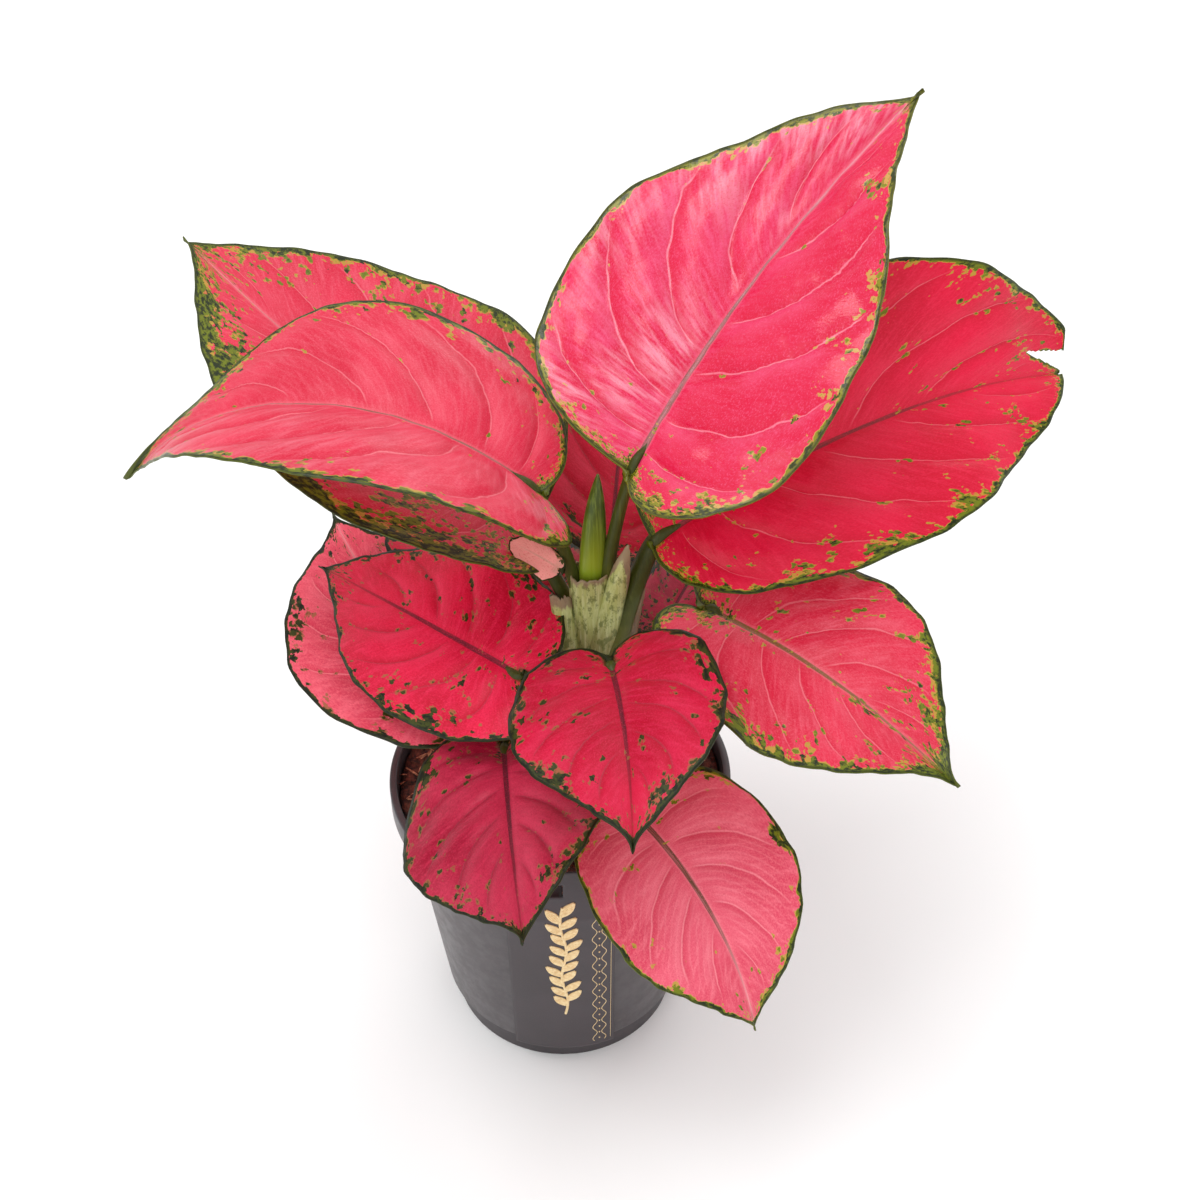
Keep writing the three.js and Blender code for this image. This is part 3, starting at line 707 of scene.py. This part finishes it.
def midrib(graph, at, tone, leaf, colour):
    """A stripe that narrows and fades toward the tip, with a soft edge and a green foot."""
    length, breadth, green = leaf["length"], leaf.get("rib", 1.0), leaf.get("rib_green", 0.0)
    far = pale_vein(tone) if tone["fade"] == "pale" else tone["deep"]
    width = graph.span(at.x, 0, length, breadth, 0.25 * breadth)
    beside = graph.math("SUBTRACT", at.across, width)
    lines = graph.stretched(at.flat, (0.08, 2.4, 1))
    stripe = graph.blend(graph.span(lines, 0.45, 0.6, 0, 0.25), tone["rib"], far)
    stripe = graph.blend(green, stripe, OLIVE_RIB)
    stripe = graph.blend(graph.span(at.x, length * 0.4, length * 0.95, 0, 0.85 * (1 - green)), stripe, far)
    colour = graph.blend(graph.span(beside, 1.2, 0.1, 0, 0.3), colour, far)
    colour = graph.blend(graph.span(beside, 0.15, -0.15), colour, stripe)
    foot = graph.product(graph.span(at.x, 3, 1), graph.span(at.across, 3, 1.5))
    _, light_green, _ = tone["flecks"]
    return graph.blend(foot, colour, light_green)


def flecks(graph, at, tone, leaf, colour):
    """Ragged green flecks with yellow rims, thick near the margin, and the margin's own green line."""
    green, green_rib, breadth = leaf["green"], leaf.get("rib_green", 0.0), leaf.get("edge", 1.0)
    inputs = {"Vector": at.here, "Scale": 0.7, "Detail": 3.0}
    sway = graph.add("ShaderNodeTexNoise", inputs).outputs["Color"]
    ragged = graph.vector("ADD", graph.vector("MULTIPLY", at.here, (1.0, 0.6, 1)), graph.scaled(sway, 1.9))
    cells = graph.add("ShaderNodeTexVoronoi", {"Vector": ragged, "Scale": 0.85}).outputs
    uneven = graph.noise(graph.vector("ADD", at.shifted, (0, 9.0, 0)), 0.09, 3.0, 0.6)
    inward = graph.product(at.gap, graph.span(uneven, 0.3, 0.7, 1.5 / breadth, 0.55 / breadth))
    crowd = graph.noise(graph.vector("ADD", at.shifted, (0, 0, 7.0)), 0.045, 2.0)
    mottle = graph.noise(graph.vector("ADD", at.here, (0, 0, 3.0)), 0.55, 4.0, 0.7)
    field = graph.total(
        graph.stretched(cells["Position"], (0.145, 0.22, 1), 1.0, 4.0, 0.68),
        graph.span(inward, 0.2, 1.9, 0.45, 0.06),
        graph.span(inward, 1, 5, 0.06, 0),
        graph.span(inward, 2, 18, green, green - 0.1),
        graph.span(crowd, 0.35, 0.65, -0.035, 0.045),
        graph.product(graph.span(at.from_vein, 2.0, 0.3, 0, 0.05), at.outward),
        graph.span(at.x, 14, 0, 0, 0.015),
        graph.span(at.across, 6, 1.5, 0, 0.08 * green_rib),
        graph.span(at.y, 3, 14, 0, leaf.get("left_green", 0.0)),
        graph.math("MULTIPLY", cells["Distance"], -0.07),
        graph.math("MULTIPLY_ADD", at.grain, 0.04, -0.02),
    )
    spread = graph.span(inward, 1.5, 7, *tone["ring"])
    rim = graph.total(field, spread, graph.span(mottle, 0.4, 0.62, -0.012, 0.008))
    dark_green, light_green, yellow = tone["flecks"]
    green_flesh = graph.blend(graph.span(mottle, 0.42, 0.58), dark_green, light_green)
    green_flesh = graph.blend(graph.span(field, 0.64, 0.68), light_green, green_flesh)
    colour = graph.blend(graph.span(rim, FLECK_RIM, FLECK_RIM + FLECK_SOFT, 0, 0.8), colour, yellow)
    colour = graph.blend(graph.span(field, FLECK, FLECK + FLECK_SOFT), colour, green_flesh)
    colour = graph.blend(graph.span(at.gap, 1.2 * breadth, 0.45 * breadth, 0, 0.75), colour, dark_green)
    return graph.blend(graph.span(at.gap, 0.35, 0.15, 0, 0.4), colour, light_green)


def variegation(graph, leaf, seed, gloss, under):
    """The finish of one side of a blade. under is the share of the pale colour of undersides."""
    tone, at = TONES[leaf["tone"]], blade_places(graph, leaf, seed)
    colour = flesh(graph, at, tone, leaf.get("sheen", 0.0))
    colour = side_veins(graph, at, tone, leaf, colour)
    colour = midrib(graph, at, tone, leaf, colour)
    colour = graph.blend(under, colour, PALE_UNDERSIDE)
    specks = graph.noise(at.here, 2.4, 2.0, 0.7)
    colour = graph.blend(graph.span(specks, 0.5, 0.72, 0, 0.5), colour, tone["light"])
    colour = graph.blend(graph.span(specks, 0.48, 0.3, 0, 0.5), colour, tone["deep"])
    colour = flecks(graph, at, tone, leaf, colour)
    height = graph.math("MULTIPLY_ADD", at.streaks, 0.7, graph.math("MULTIPLY", at.grain, 0.3))
    # lift lightens a blade's whole colour: painted light for blades that lie in the shade of others.
    return {
        "Base Color": graph.scaled(colour, leaf.get("lift", 1.0)),
        "Roughness": graph.span(at.patches, 0.3, 0.7, gloss - 0.05, gloss + 0.1),
        "Normal": graph.bump(height, 0.5, 0.35),
        "Specular IOR Level": tone["shine"],
    }


def blade(name, leaf, seed, tree):
    """One blade with its upper and under side, a thin body raised by the relief tree."""
    sides = []
    for side, gloss, under in (
        ("upper", leaf["gloss"], leaf.get("over", 0.0)),
        ("under", UNDER_GLOSS, leaf.get("under", 0.5)),
    ):
        values = dict(leaf=leaf, seed=seed, gloss=gloss, under=under)
        sides.append(finish(f"{name}_{side}_side", variegation, **values))
    data, weights = blade_data(name, leaf, sides)
    quilt = leaf["quilt"] * MM
    values = {"Quilt": quilt, "Pucker": quilt, "Groove": GROOVE * MM, "Ripple": RIPPLE * MM}
    values |= {"Seed": seed * 50.0, "Finish": sides[0]}
    return grown(name, data, tree, values, RIB_T * MM, weights)


def blades():
    """All the blades, and the curled lobe beside them."""
    tree = relief_tree()
    slots = {row["node"]: row["material_slot"] for row in frame["record"]["subparts"]}
    for seed, (node, leaf) in enumerate(LEAVES.items(), 1):
        place(blade(f"blade_{node[-2:]}", leaf, seed, tree), slots[node], node)
    place(blade("curled_lobe", CURLED_LOBE, LOBE_SEED, tree), "leaf_pink")


# Stems, stalks, sheaths and the rolled leaf

def smooth_path(points, count):
    """Evenly numbered points on a smooth curve through the given ones."""
    points = np.asarray(points, float)
    ends = np.vstack([2 * points[0] - points[1], points, 2 * points[-1] - points[-2]])
    out = []
    for u in np.linspace(0, len(points) - 1, count):
        i = min(int(u), len(points) - 2)
        f = u - i
        a, b, c, d = ends[i : i + 4]
        slope, bend, twist = c - a, 2 * a - 5 * b + 4 * c - d, 3 * b - a - 3 * c + d
        out.append(b + 0.5 * (slope * f + bend * f ** 2 + twist * f ** 3))
    return np.array(out)


def path_data(name, paths):
    """A curve with one line for each path, a pair of points and radii in millimetres."""
    curve = bpy.data.curves.new(name, "CURVE")
    curve.dimensions = "3D"
    for points, radii in paths:
        line = curve.splines.new("POLY")
        line.points.add(len(points) - 1)
        for point, place_at, radius in zip(line.points, points, radii):
            point.co = (*(np.asarray(place_at) * MM), 1)
            point.radius = radius * MM
    return curve


def sweep_tree():
    """A round bar along each line, as thick as the line's radius says, with a channel along one side."""
    inputs = {"Sides": "Int", "Channel": "Float", "Finish": "Material"}
    graph, given, output = geometry_tree("swept_stalks", inputs)
    reach = graph.add("GeometryNodeSplineParameter").outputs["Factor"]
    inputs = {0: given["Geometry"], "Name": "reach", "Value": reach}
    line = graph.add("GeometryNodeStoreNamedAttribute", inputs, data_type="FLOAT").outputs[0]
    inputs = {"Resolution": given["Sides"], "Radius": 1.0}
    ring = graph.add("GeometryNodeCurvePrimitiveCircle", inputs).outputs[0]
    height = graph.parts(graph.add("GeometryNodeInputPosition").outputs[0])[1]
    dent = graph.product(graph.span(height, 0.4, 1.0), given["Channel"])
    offset = graph.add("ShaderNodeCombineXYZ", {1: graph.math("MULTIPLY", dent, -1.0)}).outputs[0]
    ring = graph.add("GeometryNodeSetPosition", {0: ring, "Offset": offset}).outputs[0]
    radius = graph.add("GeometryNodeInputRadius").outputs[0]
    inputs = {"Curve": line, "Profile Curve": ring, "Scale": radius, "Fill Caps": True}
    bar = graph.add("GeometryNodeCurveToMesh", inputs).outputs[0]
    close_tree(graph, bar, given["Finish"], output)
    return graph.tree


def stalk_flesh(graph, top, foot):
    """Smooth green flesh with fine lines along it, from the colour of its foot to that of its top."""
    here = graph.object_place()
    reach = graph.attribute("reach").outputs["Fac"]
    colour = graph.blend(graph.span(reach, 0.0, 0.55), foot, top)
    lines = graph.stretched(here, (1, 1, 0.06), 1100.0, 3.0, 0.6)
    colour = graph.blend(graph.span(lines, 0.45, 0.75, 0, 0.3), colour, srgb(104, 112, 44))
    clouds = graph.noise(here, 90.0, 2.0)
    colour = graph.blend(graph.span(clouds, 0.45, 0.7, 0, 0.35), colour, srgb(40, 44, 12))
    bump = graph.bump(lines, 0.4, 0.25)
    rough = graph.span(clouds, 0.3, 0.7, 0.36, 0.52)
    return {"Base Color": colour, "Roughness": rough, "Normal": bump, "Specular IOR Level": 0.28}


def stalk_path(leaf):
    """A stalk from its stem's top to the blade's joint and on under the midrib, with its radii."""
    root = np.array(leaf.get("root", np.subtract(STEMS[leaf["stem"]]["top"], (0, 0, STALK_ROOT))), float)
    joint = np.array(leaf["joint"], float)
    arch = (root + joint) / 2 + (0, 0, STALK_ARCH * (joint[2] - root[2]))
    shares = np.array(list(STALK_UNDER))
    normals = rib_frame(leaf, shares)[2]
    depths = np.array(list(STALK_UNDER.values()))[:, None]
    under = rib_point(leaf, shares) - normals * depths
    points = smooth_path([root, arch, *under], 41)
    first, last = leaf.get("stalk", STALK_R)
    widths = [first, 0.45 * first + 0.55 * last, last, 1.4, 0.4]
    return points, np.interp(np.linspace(0, 4, 41), range(5), widths)


def stems(tree):
    """Each stem with the stalks of its blades in one piece."""
    flesh = finish("stalk_flesh", stalk_flesh, top=srgb(60, 66, 16), foot=srgb(104, 106, 44))
    values = {"Sides": STALK_SIDES, "Channel": STALK_CHANNEL, "Finish": flesh}
    for node, stem in STEMS.items():
        x, y = stem["foot"]
        rise = smooth_path([(x, y, STEM_FOOT_Z), (x, y, SOIL_Z + 8), stem["top"]], 25)
        paths = [(rise, np.linspace(*stem["radius"], 25))]
        paths += [stalk_path(leaf) for leaf in LEAVES.values() if leaf["stem"] == node]
        data = path_data("crown_" + node[5:], paths)
        piece = grown(data.name, data, tree, values)
        place(piece, "stem_flesh", node)


def husk(graph, torn):
    """A thin leaf sheath: pale green, mottled, with a dark line at its sides and a brown torn top."""
    here = graph.object_place()
    reach = graph.attribute("reach").outputs["Fac"]
    side = graph.attribute("side").outputs["Fac"]
    lines = graph.stretched(here, (1, 1, 0.08), 900.0, 3.0, 0.6)
    colour = graph.blend(graph.span(reach, 0, 0.8), srgb(108, 100, 58), srgb(166, 170, 98))
    colour = graph.blend(graph.span(lines, 0.4, 0.7, 0, 0.5), colour, srgb(208, 212, 160))
    spots = graph.stretched(here, (1, 1, 0.5), 420.0, 4.0, 0.75)
    colour = graph.blend(graph.span(spots, 0.48, 0.6, 0, 0.75), colour, srgb(88, 98, 36))
    colour = graph.blend(graph.span(side, 0.6, 0.95, 0, 0.9), colour, srgb(54, 70, 20))
    brown = graph.math("ADD", reach, graph.math("MULTIPLY", spots, 0.1))
    colour = graph.blend(graph.span(brown, torn, torn + 0.05, 0, 0.85), colour, srgb(132, 104, 84))
    bump = graph.bump(lines, 0.5, 0.3)
    return {"Base Color": colour, "Roughness": 0.55, "Normal": bump}


def along_path(path, shares):
    """Places at shares of the way along a smooth curve through the points of path."""
    steps = smooth_path(path, 101)
    return np.stack([np.interp(shares * 100, np.arange(101), steps[:, axis]) for axis in range(3)], -1)


def sheath_data(name, path, radii, arc, facing, point, ragged, seed):
    """A sheath round a path: an open tube with a torn top."""
    rows, columns = 60, 56
    u, v = np.meshgrid(np.linspace(0, 1, rows), np.linspace(-1, 1, columns), indexing="ij")
    torn = np.array([noise.noise(Vector((3.1 * a, seed, 0.5))) for a in v[0]])
    teeth = np.array([noise.noise(Vector((17 * a, 2.0, 0.5))) for a in v[0]])
    top = 1 - point * np.abs(v) ** 1.5 + ragged * (torn + 0.5 * teeth)
    reach = u * top
    radius = np.interp(reach, np.linspace(0, 1, len(radii)), radii)
    angle = np.radians(facing + v * arc / 2)
    ring = np.stack([np.cos(angle), np.sin(angle), 0 * angle], -1)
    points = along_path(path, reach) + ring * radius[..., None]
    faces = [face[::-1] for face in grid_faces(rows, columns)]
    return mesh_data(name, points.reshape(-1, 3), faces, reach=u.ravel(), side=np.abs(v).ravel())


def sheet_tree():
    """Smooths a shape that is ready made, and gives it its finish."""
    graph, given, output = geometry_tree("sheet_finish", {"Finish": "Material"})
    close_tree(graph, given["Geometry"], given["Finish"], output)
    return graph.tree


def sheaths(tree):
    """Each sheath as a thin wall, with its own finish."""
    for name, values in HUSKS.items():
        shape = {key: value for key, value in values.items() if key != "torn"}
        skin = finish(f"{name}_skin", husk, torn=values["torn"])
        place(grown(name, sheath_data(name, **shape), tree, {"Finish": skin}, HUSK_T * MM), "stem_flesh")


def rolled_leaf(graph):
    """Glossy young flesh, yellow-green at the foot and darker at the tip, with a pale rolled edge."""
    here = graph.object_place()
    reach = graph.attribute("reach").outputs["Fac"]
    lines = graph.stretched(here, (1, 1, 0.04), 1300.0, 3.0, 0.6)
    colour = graph.blend(graph.span(reach, 0.1, 0.75), srgb(138, 156, 34), srgb(62, 80, 20))
    colour = graph.blend(graph.span(lines, 0.42, 0.7, 0, 0.3), colour, srgb(150, 170, 66))
    edge = graph.attribute("side").outputs["Fac"]
    colour = graph.blend(graph.span(edge, 0.95, 1.0), colour, srgb(190, 200, 120))
    bump = graph.bump(lines, 0.4, 0.2)
    return {"Base Color": colour, "Roughness": 0.34, "Normal": bump, "Specular IOR Level": 0.35}


def spear(tree):
    """The new leaf, rolled about one and a half times round its own path to a point."""
    rows, columns = 90, 80
    u, v = np.meshgrid(np.linspace(0, 1, rows), np.linspace(0, 1, columns), indexing="ij")
    outer = SPEAR_R - 0.25 - (SPEAR_R - 0.5) * u ** 3.2
    radius = outer * (0.74 + 0.26 * v)
    angle = np.radians(-150 + 360 * SPEAR_TURNS * v)
    ring = np.stack([np.cos(angle), 0.8 * np.sin(angle), 0 * angle], -1)
    points = (along_path(SPEAR_PATH, u) + ring * radius[..., None]).reshape(-1, 3)
    faces = [face[::-1] for face in grid_faces(rows, columns)]
    data = mesh_data("rolled_leaf", points, faces, reach=u.ravel(), side=v.ravel())
    piece = grown(data.name, data, tree, {"Finish": finish("rolled_leaf", rolled_leaf)}, SPEAR_T * MM)
    place(piece, "young_leaf", "spear")


# Pot, soil and card

def wall_radius(z):
    """Outer radius of the pot's wall at a height."""
    share = (z - WALL_BOTTOM_Z) / (RIM_Z - LIP_H - WALL_BOTTOM_Z)
    return WALL_BOTTOM_R + share * (WALL_TOP_R - WALL_BOTTOM_R)


def rounded(profile, radius=0.8, steps=4):
    """A profile of (radius, height) corners with each inner corner cut to a small arc."""
    corners = [Vector(p) for p in profile]
    out = [corners[0]]
    for before, corner, after in zip(corners, corners[1:], corners[2:]):
        reach = min(radius, (before - corner).length * 0.45, (after - corner).length * 0.45)
        start = corner + (before - corner).normalized() * reach
        end = corner + (after - corner).normalized() * reach
        for k in range(steps + 1):
            f = k / steps
            out.append(start * (1 - f) ** 2 + corner * 2 * f * (1 - f) + end * f * f)
    return out + [corners[-1]]


def turned_data(name, profile, sides):
    """A closed body turned about the Z axis from a profile that starts and ends on it."""
    ring = np.linspace(0, 2 * math.pi, sides, endpoint=False)
    points = [(0, 0, profile[0][1])]
    for r, z in profile[1:-1]:
        points += [(r * math.cos(a), r * math.sin(a), z) for a in ring]
    points.append((0, 0, profile[-1][1]))
    rows, last = len(profile) - 2, len(points) - 1
    faces = [tuple(1 + k for k in reversed(face)) for face in grid_faces(rows, sides, closed=True)]
    for j in range(sides):
        k = (j + 1) % sides
        faces.append((0, 1 + k, 1 + j))
        faces.append((last, last - sides + j, last - sides + k))
    return mesh_data(name, points, faces)


def pot_plastic(graph):
    """Dark moulded plastic: satin, with faint flow lines round it and a little dust."""
    here = graph.object_place()
    flow = graph.stretched(here, (1, 1, 3), 30.0, 3.0)
    grain = graph.noise(here, 1500.0, 2.0)
    dust = graph.noise(here, 160.0, 4.0, 0.7)
    colour = graph.blend(graph.span(flow, 0.3, 0.7), srgb(58, 52, 55), srgb(68, 62, 65))
    colour = graph.blend(graph.span(dust, 0.6, 0.75, 0, 0.25), colour, srgb(120, 112, 106))
    height = graph.math("ADD", graph.math("MULTIPLY", grain, 0.4), flow)
    bump = graph.bump(height, 0.12, 0.2)
    return {"Base Color": colour, "Roughness": graph.span(dust, 0.3, 0.7, 0.34, 0.46), "Normal": bump}


def pot(tree):
    """The pot turned from one profile, up its outside and down its inside."""
    under_lip = RIM_Z - LIP_H
    profile = [
        (0, 0), (FOOT_R, 0), (FOOT_R - FOOT_DRAFT, WALL_BOTTOM_Z), (WALL_BOTTOM_R, WALL_BOTTOM_Z + 0.4),
        (wall_radius(under_lip), under_lip), (RIM_R, under_lip), (RIM_R, RIM_Z), (RIM_R - LIP_W, RIM_Z),
        (RIM_R - LIP_W - LIP_DRAFT, under_lip), (WALL_TOP_R - WALL, under_lip - 2),
        (WALL_BOTTOM_R - WALL, WALL_BOTTOM_Z + 2), (FOOT_R - WALL, WALL_BOTTOM_Z - 1),
        (FOOT_R - WALL, FLOOR), (0, FLOOR),
    ]
    data = turned_data("nursery_pot", rounded(profile), POT_SIDES)
    piece = grown(data.name, data, tree, {"Finish": finish("pot_plastic", pot_plastic)})
    place(piece, "pot_plastic", "pot")


def peat(graph, dark, light):
    """Rough, dull crumbs of dark and light peat, with the dark laid in the hollows of the bump as painted
    shade.
    """
    here = graph.object_place()
    clumps = graph.noise(here, 420.0, 4.0, 0.7)
    # Painted shade: the noise that raises the bump also darkens its hollows.
    colour = graph.blend(graph.span(clumps, 0.35, 0.7), dark, light)
    bump = graph.bump(clumps, 0.9, 1.2)
    return {"Base Color": colour, "Roughness": 0.9, "Normal": bump}


def scatter_tree():
    """Throws small lumps or fibres over the upward faces of a surface, and keeps only these."""
    inputs = {"Density": "Float", "Size": "Vector", "Seed": "Int", "Finish": "Material"}
    graph, given, output = geometry_tree("scattered_peat", inputs)
    normal = graph.add("GeometryNodeInputNormal").outputs[0]
    position = graph.add("GeometryNodeInputPosition").outputs[0]
    upward = graph.math("GREATER_THAN", graph.parts(normal)[2], 0.5)
    high = graph.math("GREATER_THAN", graph.parts(position)[2], (SOIL_Z - 4) * MM)
    inputs = {0: given["Geometry"], "Selection": graph.product(upward, high)}
    inputs |= {"Density": given["Density"], "Seed": given["Seed"]}
    thrown = graph.add("GeometryNodeDistributePointsOnFaces", inputs).outputs[0]
    lump = graph.add("GeometryNodeMeshIcoSphere", {"Radius": 1.0, "Subdivisions": 1}).outputs[0]

    def drawn(low, high, seed):
        inputs = {0: low, 1: high, "Seed": seed}
        return graph.add("FunctionNodeRandomValue", inputs, data_type="FLOAT_VECTOR").outputs[0]

    turn = drawn((-0.5, -0.5, 0), (0.5, 0.5, 6.28), 3)
    size = graph.vector("MULTIPLY", drawn((0.5, 0.5, 0.5), (1.5, 1.5, 1.5), 5), given["Size"])
    inputs = {"Points": thrown, "Instance": lump, "Rotation": turn, "Scale": size}
    lumps = graph.add("GeometryNodeInstanceOnPoints", inputs).outputs[0]
    close_tree(graph, lumps, given["Finish"], output)
    return graph.tree


def soil(sheet):
    """The peat, rising towards the rim of the pot, with loose crumbs and fibres on it."""
    gap, bottom, level = WALL + SOIL_GAP, FLOOR + SOIL_GAP, SOIL_Z + 1
    inner = [(FOOT_R - gap, WALL_BOTTOM_Z), (WALL_BOTTOM_R - gap, WALL_BOTTOM_Z + 3), (SOIL_R, SOIL_Z - 1)]
    radii = np.linspace(*SOIL_TOP_R, SOIL_RINGS)
    heap = [(r, level + SOIL_HEAP * np.interp(r, SOIL_SLOPE, [0, 1])) for r in radii]
    brim = (SOIL_BRIM_R, level + SOIL_HEAP)
    profile = [(0, bottom), (FOOT_R - gap, bottom), *inner, brim, *heap, (0, level)]
    data = turned_data("peat_soil", profile, SOIL_SIDES)
    for vertex in data.vertices:
        if vertex.co.z > (SOIL_Z - 0.5) * MM:
            clods = 1.5 * noise.noise(vertex.co * 90) + 0.9 * noise.noise(vertex.co * 330)
            vertex.co.z += clods * MM
    dark = finish("dark_peat", peat, dark=srgb(36, 20, 16), light=srgb(124, 68, 50))
    red = finish("peat_fibre", peat, dark=srgb(140, 72, 50), light=srgb(238, 176, 136))
    scatter = scatter_tree()
    crumbs = dict(Density=CRUMBS, Size=[side * MM for side in CRUMB], Seed=4, Finish=dark)
    fibres = dict(Density=FIBRES, Size=[side * MM for side in FIBRE], Seed=9, Finish=red)
    for name, values in (("peat_crumbs", crumbs), ("peat_fibres", fibres)):
        place(grown(name, data.copy(), scatter, values), "soil")
    place(grown("peat_soil", data, sheet, {"Finish": dark}), "soil", "soil")


def card_radius(z):
    """Radius of the inner face of the card at a height: near the wall below, and past the lip above."""
    low = wall_radius(CARD_Z[0]) + 1
    return np.interp(z, [CARD_Z[0], RIM_Z - LIP_H], [low, RIM_R + 0.6])


def on_card(x, z, lift=0.0):
    """A place on the outer face of the card."""
    radius = card_radius(z) + CARD_T + lift
    return x, -np.sqrt(radius ** 2 - np.square(x)), z


def printed(x, z, radius):
    """A printed line on the card, as points and their radii."""
    x, z = np.broadcast_arrays(x, z)
    return np.stack(on_card(x, z), -1), np.full(len(z), radius)


def card_stock(graph):
    """Dark satin card with a fine grain."""
    here = graph.object_place()
    grain = graph.noise(here, 1800.0, 3.0, 0.6)
    clouds = graph.noise(here, 40.0, 2.0)
    colour = graph.blend(graph.span(clouds, 0.3, 0.7), srgb(50, 42, 46), srgb(58, 49, 54))
    colour = graph.blend(graph.span(grain, 0.55, 0.75, 0, 0.2), colour, srgb(86, 78, 80))
    bump = graph.bump(grain, 0.2, 0.1)
    return {"Base Color": colour, "Roughness": 0.48, "Normal": bump}


def card(tree):
    """The card bent round the wall, with its slot and the tongue that hooks over the rim."""
    xs = np.arange(CARD_X[0], CARD_X[1] + 0.5, 1.0)
    zs = np.arange(CARD_Z[0], CARD_Z[1] + 0.5, 1.0)
    points = [on_card(x, z, -CARD_T / 2) for z in zs for x in xs]
    faces = []
    for face in grid_faces(len(zs), len(xs)):
        x, z = (np.mean([points[i][axis] for i in face]) for axis in (0, 2))
        if not (SLOT_X[0] < x < SLOT_X[1] and SLOT_Z[0] < z < SLOT_Z[1]):
            faces.append(face[::-1])
    base = len(points)
    top, back = RIM_Z + 0.7, WALL_TOP_R - WALL - 0.6
    front = card_radius(SLOT_Z[0]) + CARD_T / 2
    bends = [(front, SLOT_Z[0]), (front - 0.4, top + 0.3), (front - 1.2, top + 0.5)]
    bends += [(back + 1, top), (back, top - 1), (back, top - TONGUE_DROP)]
    width = np.linspace(SLOT_X[0] + 0.5, SLOT_X[1] - 0.5, 6)
    points += [(x, -radius, z) for radius, z in bends for x in width]
    faces += [tuple(base + k for k in face) for face in grid_faces(len(bends), len(width))]
    data = mesh_data("hung_card", points, faces)
    piece = grown(data.name, data, tree, {"Finish": finish("card_stock", card_stock)}, CARD_T * MM)
    place(piece, "label_card", "label")


def gold_print(graph):
    """Pale gold ink, a little worn."""
    here = graph.object_place()
    worn = graph.noise(here, 900.0, 3.0, 0.6)
    colour = graph.blend(graph.span(worn, 0.3, 0.7), srgb(226, 190, 132), srgb(246, 222, 172))
    return {"Base Color": colour, "Roughness": 0.42}


def ornament(tree):
    """A plain gold sprig with almond leaves, and beside it two fine waves, a row of dots and a line."""
    low, high = SPRIG_Z
    length, half_breadth = SPRIG_LEAF
    z = np.linspace(low, high, 60)
    sway = SPRIG_X + SPRIG_SWAY * np.sin((z - low) / (high - low) * 4 * math.pi)
    lines = [printed(sway, z, 0.5)]
    f = np.linspace(0, 1, 24)
    for k, foot in enumerate(np.arange(low + 6, high - 5, SPRIG_STEP)):
        for side in (-1, 1):
            start = foot + (SPRIG_STEP / 2 if side > 0 else 0)
            tilt = math.radians(40 if k % 2 else 34)
            for bulge in (-1, -0.5, 0, 0.5, 1):
                across = bulge * half_breadth * np.sin(math.pi * f) ** 0.9
                out = length * f * math.sin(tilt) + across * math.cos(tilt)
                up = length * f * math.cos(tilt) - across * math.sin(tilt)
                lines.append(printed(np.interp(start, z, sway) + side * out, start + up, 0.42))
    low, high = BORDER_Z
    first, dots, second, outer = BORDER_X
    z = np.linspace(low, high, 120)
    for middle, start in ((first, 0.0), (second, math.pi)):
        wave = 0.8 * np.sin(z * 2 * math.pi / WAVE_LENGTH + start)
        lines.append(printed(middle + wave, z, 0.13))
    for foot in np.arange(low + 2, high, DOT_STEP):
        lines.append(printed(dots, np.linspace(foot - 0.3, foot + 0.3, 3), 0.28))
    lines.append(printed(outer, np.linspace(low, high, 40), 0.08))
    data = path_data("gold_sprig", lines)
    gold = finish("gold_print", gold_print)
    piece = grown(data.name, data, tree, {"Sides": 8, "Channel": 0.0, "Finish": gold})
    place(piece, "label_card")


# Stage

def softbox(name, place_at, size, power):
    """A rectangular area light turned to the middle of the plant."""
    light = bpy.data.lights.new(name, "AREA")
    light.shape = "RECTANGLE"
    light.size, light.size_y = size
    light.energy = power
    lamp = bpy.data.objects.new(name, light)
    lamp.location = place_at
    lamp.rotation_euler = (Vector(MIDDLE) - Vector(place_at)).to_track_quat("-Z", "Y").to_euler()
    bpy.context.scene.collection.objects.link(lamp)


def paper(graph):
    """Matte white paper."""
    here = graph.object_place()
    tint = graph.blend(graph.noise(here, 3.0), (0.96, 0.96, 0.96, 1), (0.98, 0.98, 0.98, 1))
    return {"Base Color": tint, "Roughness": 0.9}


def stage():
    """A white floor and a white sky, lit by the softboxes."""
    half = PAPER_HALF
    corners = [(-half, -half, 0), (half, -half, 0), (half, half, 0), (-half, half, 0)]
    data = mesh_data("paper_floor", corners, [(0, 1, 2, 3)], [finish("floor_paper", paper)])
    floor = bpy.data.objects.new("paper_floor", data)
    bpy.context.scene.collection.objects.link(floor)
    world = bpy.data.worlds.new("studio")
    world.use_nodes = True
    sky = world.node_tree.nodes["Background"].inputs
    sky["Color"].default_value = (1, 1, 1, 1)
    sky["Strength"].default_value = SKY_STRENGTH
    bpy.context.scene.world = world
    for name, values in SOFTBOXES.items():
        softbox(name, **values)
    bpy.context.scene.view_settings.view_transform = "Standard"


def camera():
    """The photograph's viewpoint, worked out from the rim and the foot of the pot."""
    lens = bpy.data.cameras.new("photo_view")
    lens.sensor_width = SENSOR
    lens.lens = LENS
    view = bpy.data.objects.new("photo_view", lens)
    view.location = Vector(VIEW_FROM) * MM
    view.rotation_euler = (math.radians(VIEW_TILT), 0, 0)
    bpy.context.scene.collection.objects.link(view)
    bpy.context.scene.camera = view


camera()
stage()
swept = sweep_tree()
sheet = sheet_tree()
blades()
stems(swept)
sheaths(sheet)
spear(sheet)
pot(sheet)
soil(sheet)
card(sheet)
ornament(swept)
